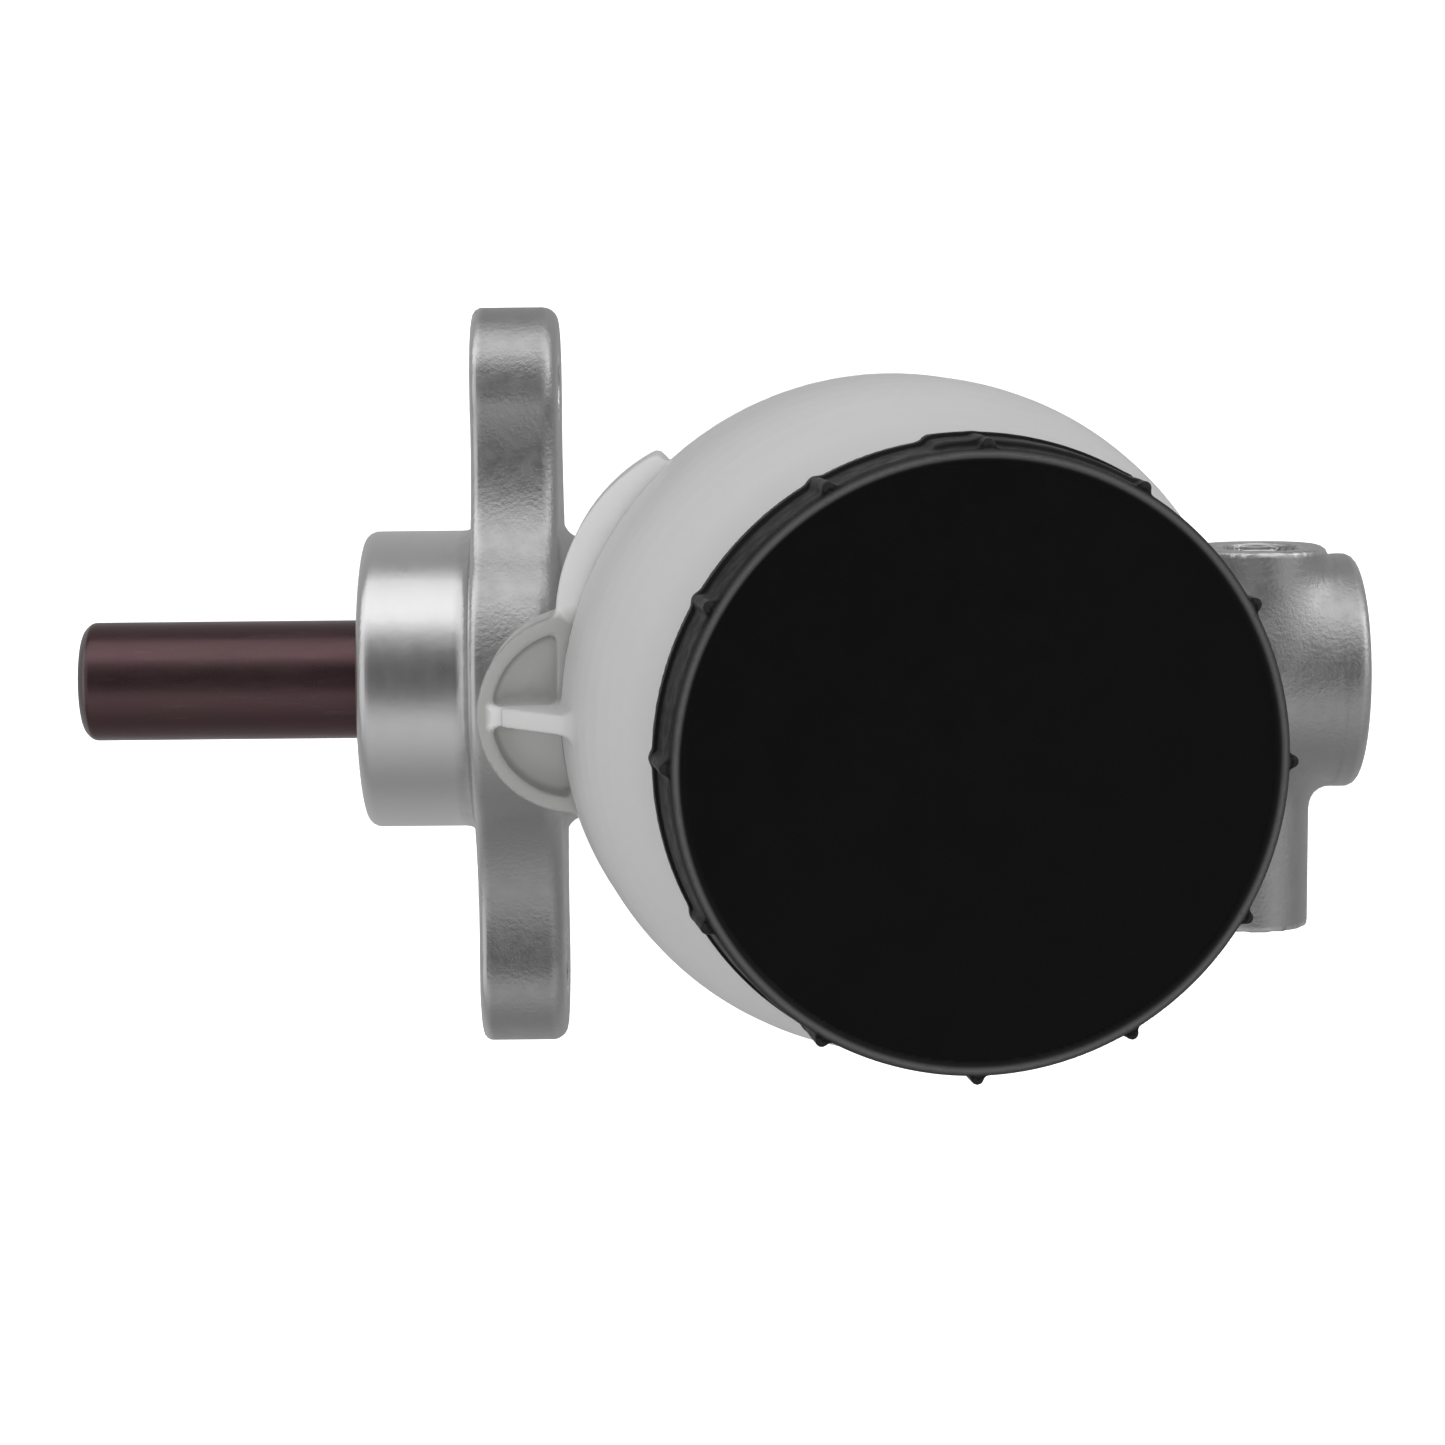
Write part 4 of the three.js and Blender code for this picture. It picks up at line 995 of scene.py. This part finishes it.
def pale_floor():
    """A wide pale floor just under the part."""
    reach, height = 60.0, cad_low.z - 0.0003
    corners = [(x * reach, y * reach, height) for x, y in ((-1, -1), (1, -1), (1, 1), (-1, 1))]
    mesh = bpy.data.meshes.new("floor")
    mesh.from_pydata(corners, [], [(0, 1, 2, 3)])
    ground = placed("floor", mesh)
    f = Finish("pale_floor", Roughness=0.9)
    f.put("Base Color", f.blend(f.noise(6, 2), grey(0.90), grey(0.88)))
    f.shader.inputs["Emission Color"].default_value = grey(1.0)
    f.shader.inputs["Emission Strength"].default_value = 0.85
    mesh.materials.append(f.material)
    ground.visible_glossy = False
    ground.visible_diffuse = False
    ground.visible_transmission = False
    ground.visible_shadow = False


# Brightness of the studio against (1 + cosine) / 2 of the angle from its dark patch overhead
SKY = (
    (0.0, 0.46), (0.3, 0.36), (0.5, 0.26), (0.66, 0.36), (0.82, 0.52), (0.9, 0.62), (0.945, 0.36),
    (0.975, 0.10), (1.0, 0.07),
)
SKY_TILT = math.radians(11)


def sky():
    """A soft studio all round, with a dark patch overhead that leans to +Y."""
    world = bpy.data.worlds.new("studio")
    bpy.context.scene.world = world
    world.use_nodes = True
    tree = world.node_tree
    place = tree.nodes.new("ShaderNodeTexCoord")
    height = tree.nodes.new("ShaderNodeVectorMath")
    height.operation = "DOT_PRODUCT"
    height.inputs[1].default_value = (0, math.sin(SKY_TILT), math.cos(SKY_TILT))
    raised = tree.nodes.new("ShaderNodeMath")
    raised.operation = "MULTIPLY_ADD"
    raised.inputs[1].default_value = 0.5
    raised.inputs[2].default_value = 0.5
    ramp = tree.nodes.new("ShaderNodeValToRGB")
    while len(ramp.color_ramp.elements) < len(SKY):
        ramp.color_ramp.elements.new(0.5)
    for element, (position, value) in zip(ramp.color_ramp.elements, SKY):
        element.position = position
        element.color = grey(value)
    tree.links.new(place.outputs["Generated"], height.inputs[0])
    tree.links.new(height.outputs["Value"], raised.inputs[0])
    tree.links.new(raised.outputs[0], ramp.inputs["Fac"])
    tree.links.new(ramp.outputs["Color"], tree.nodes["Background"].inputs["Color"])
    tree.nodes["Background"].inputs["Strength"].default_value = 1.0


# Each lamp: name, place, aim, width, height, radiance, whether reflections show it
LAMPS = (
    ("side_softbox", (-0.1, 0.75, 0.33), (-0.1, 0, 0.33), 2.6, 0.72, 0.66, True),
    ("rear_softbox", (-0.95, -0.05, 0.50), (0, 0, 0.1), 1.1, 0.5, 0.24, True),
    ("front_softbox", (0.9, 0.45, 0.30), (0.1, 0, 0.02), 0.5, 0.5, 0.9, True),
    ("overhead", (0.03, -0.1, 1.4), (0.05, 0, 0.05), 1.2, 1.2, 2.1, False),
)


def lamps():
    for name, at, aim, width, tall, radiance, shiny in LAMPS:
        light = bpy.data.lights.new(name, "AREA")
        light.shape, light.size, light.size_y = "RECTANGLE", width, tall
        light.energy = radiance * math.pi * width * tall
        lamp = placed(name, light)
        lamp.location = at
        lamp.rotation_euler = (Vector(at) - Vector(aim)).to_track_quat("Z", "Y").to_euler()
        lamp.visible_camera = False
        lamp.visible_glossy = shiny


def photographer():
    """The camera looks down on the cylinder, leaning a little from +Y, in metres and radians."""
    distance, lean, turn = 0.5413, math.radians(7.5), math.radians(0.56)
    beside, ahead = 0.03625, 0.0073
    back = Vector((0, math.sin(lean), math.cos(lean)))
    right = Vector((math.cos(turn), -math.sin(turn) * math.cos(lean), math.sin(turn) * math.sin(lean)))
    up = back.cross(right)
    foot = Vector((beside, -ahead * math.cos(lean), ahead * math.sin(lean)))
    camera_data = bpy.data.cameras.new("camera")
    camera_data.lens, camera_data.sensor_width, camera_data.shift_x = 86.45, 36, 0.0073
    camera_data.clip_start, camera_data.clip_end = 0.01, 100
    camera = placed("camera", camera_data)
    facing = Matrix((right, up, back)).transposed().to_4x4()
    camera.matrix_world = Matrix.Translation(foot + back * distance) @ facing
    bpy.context.scene.camera = camera


pale_floor()
sky()
lamps()
photographer()
bpy.context.scene.view_settings.view_transform = "Standard"
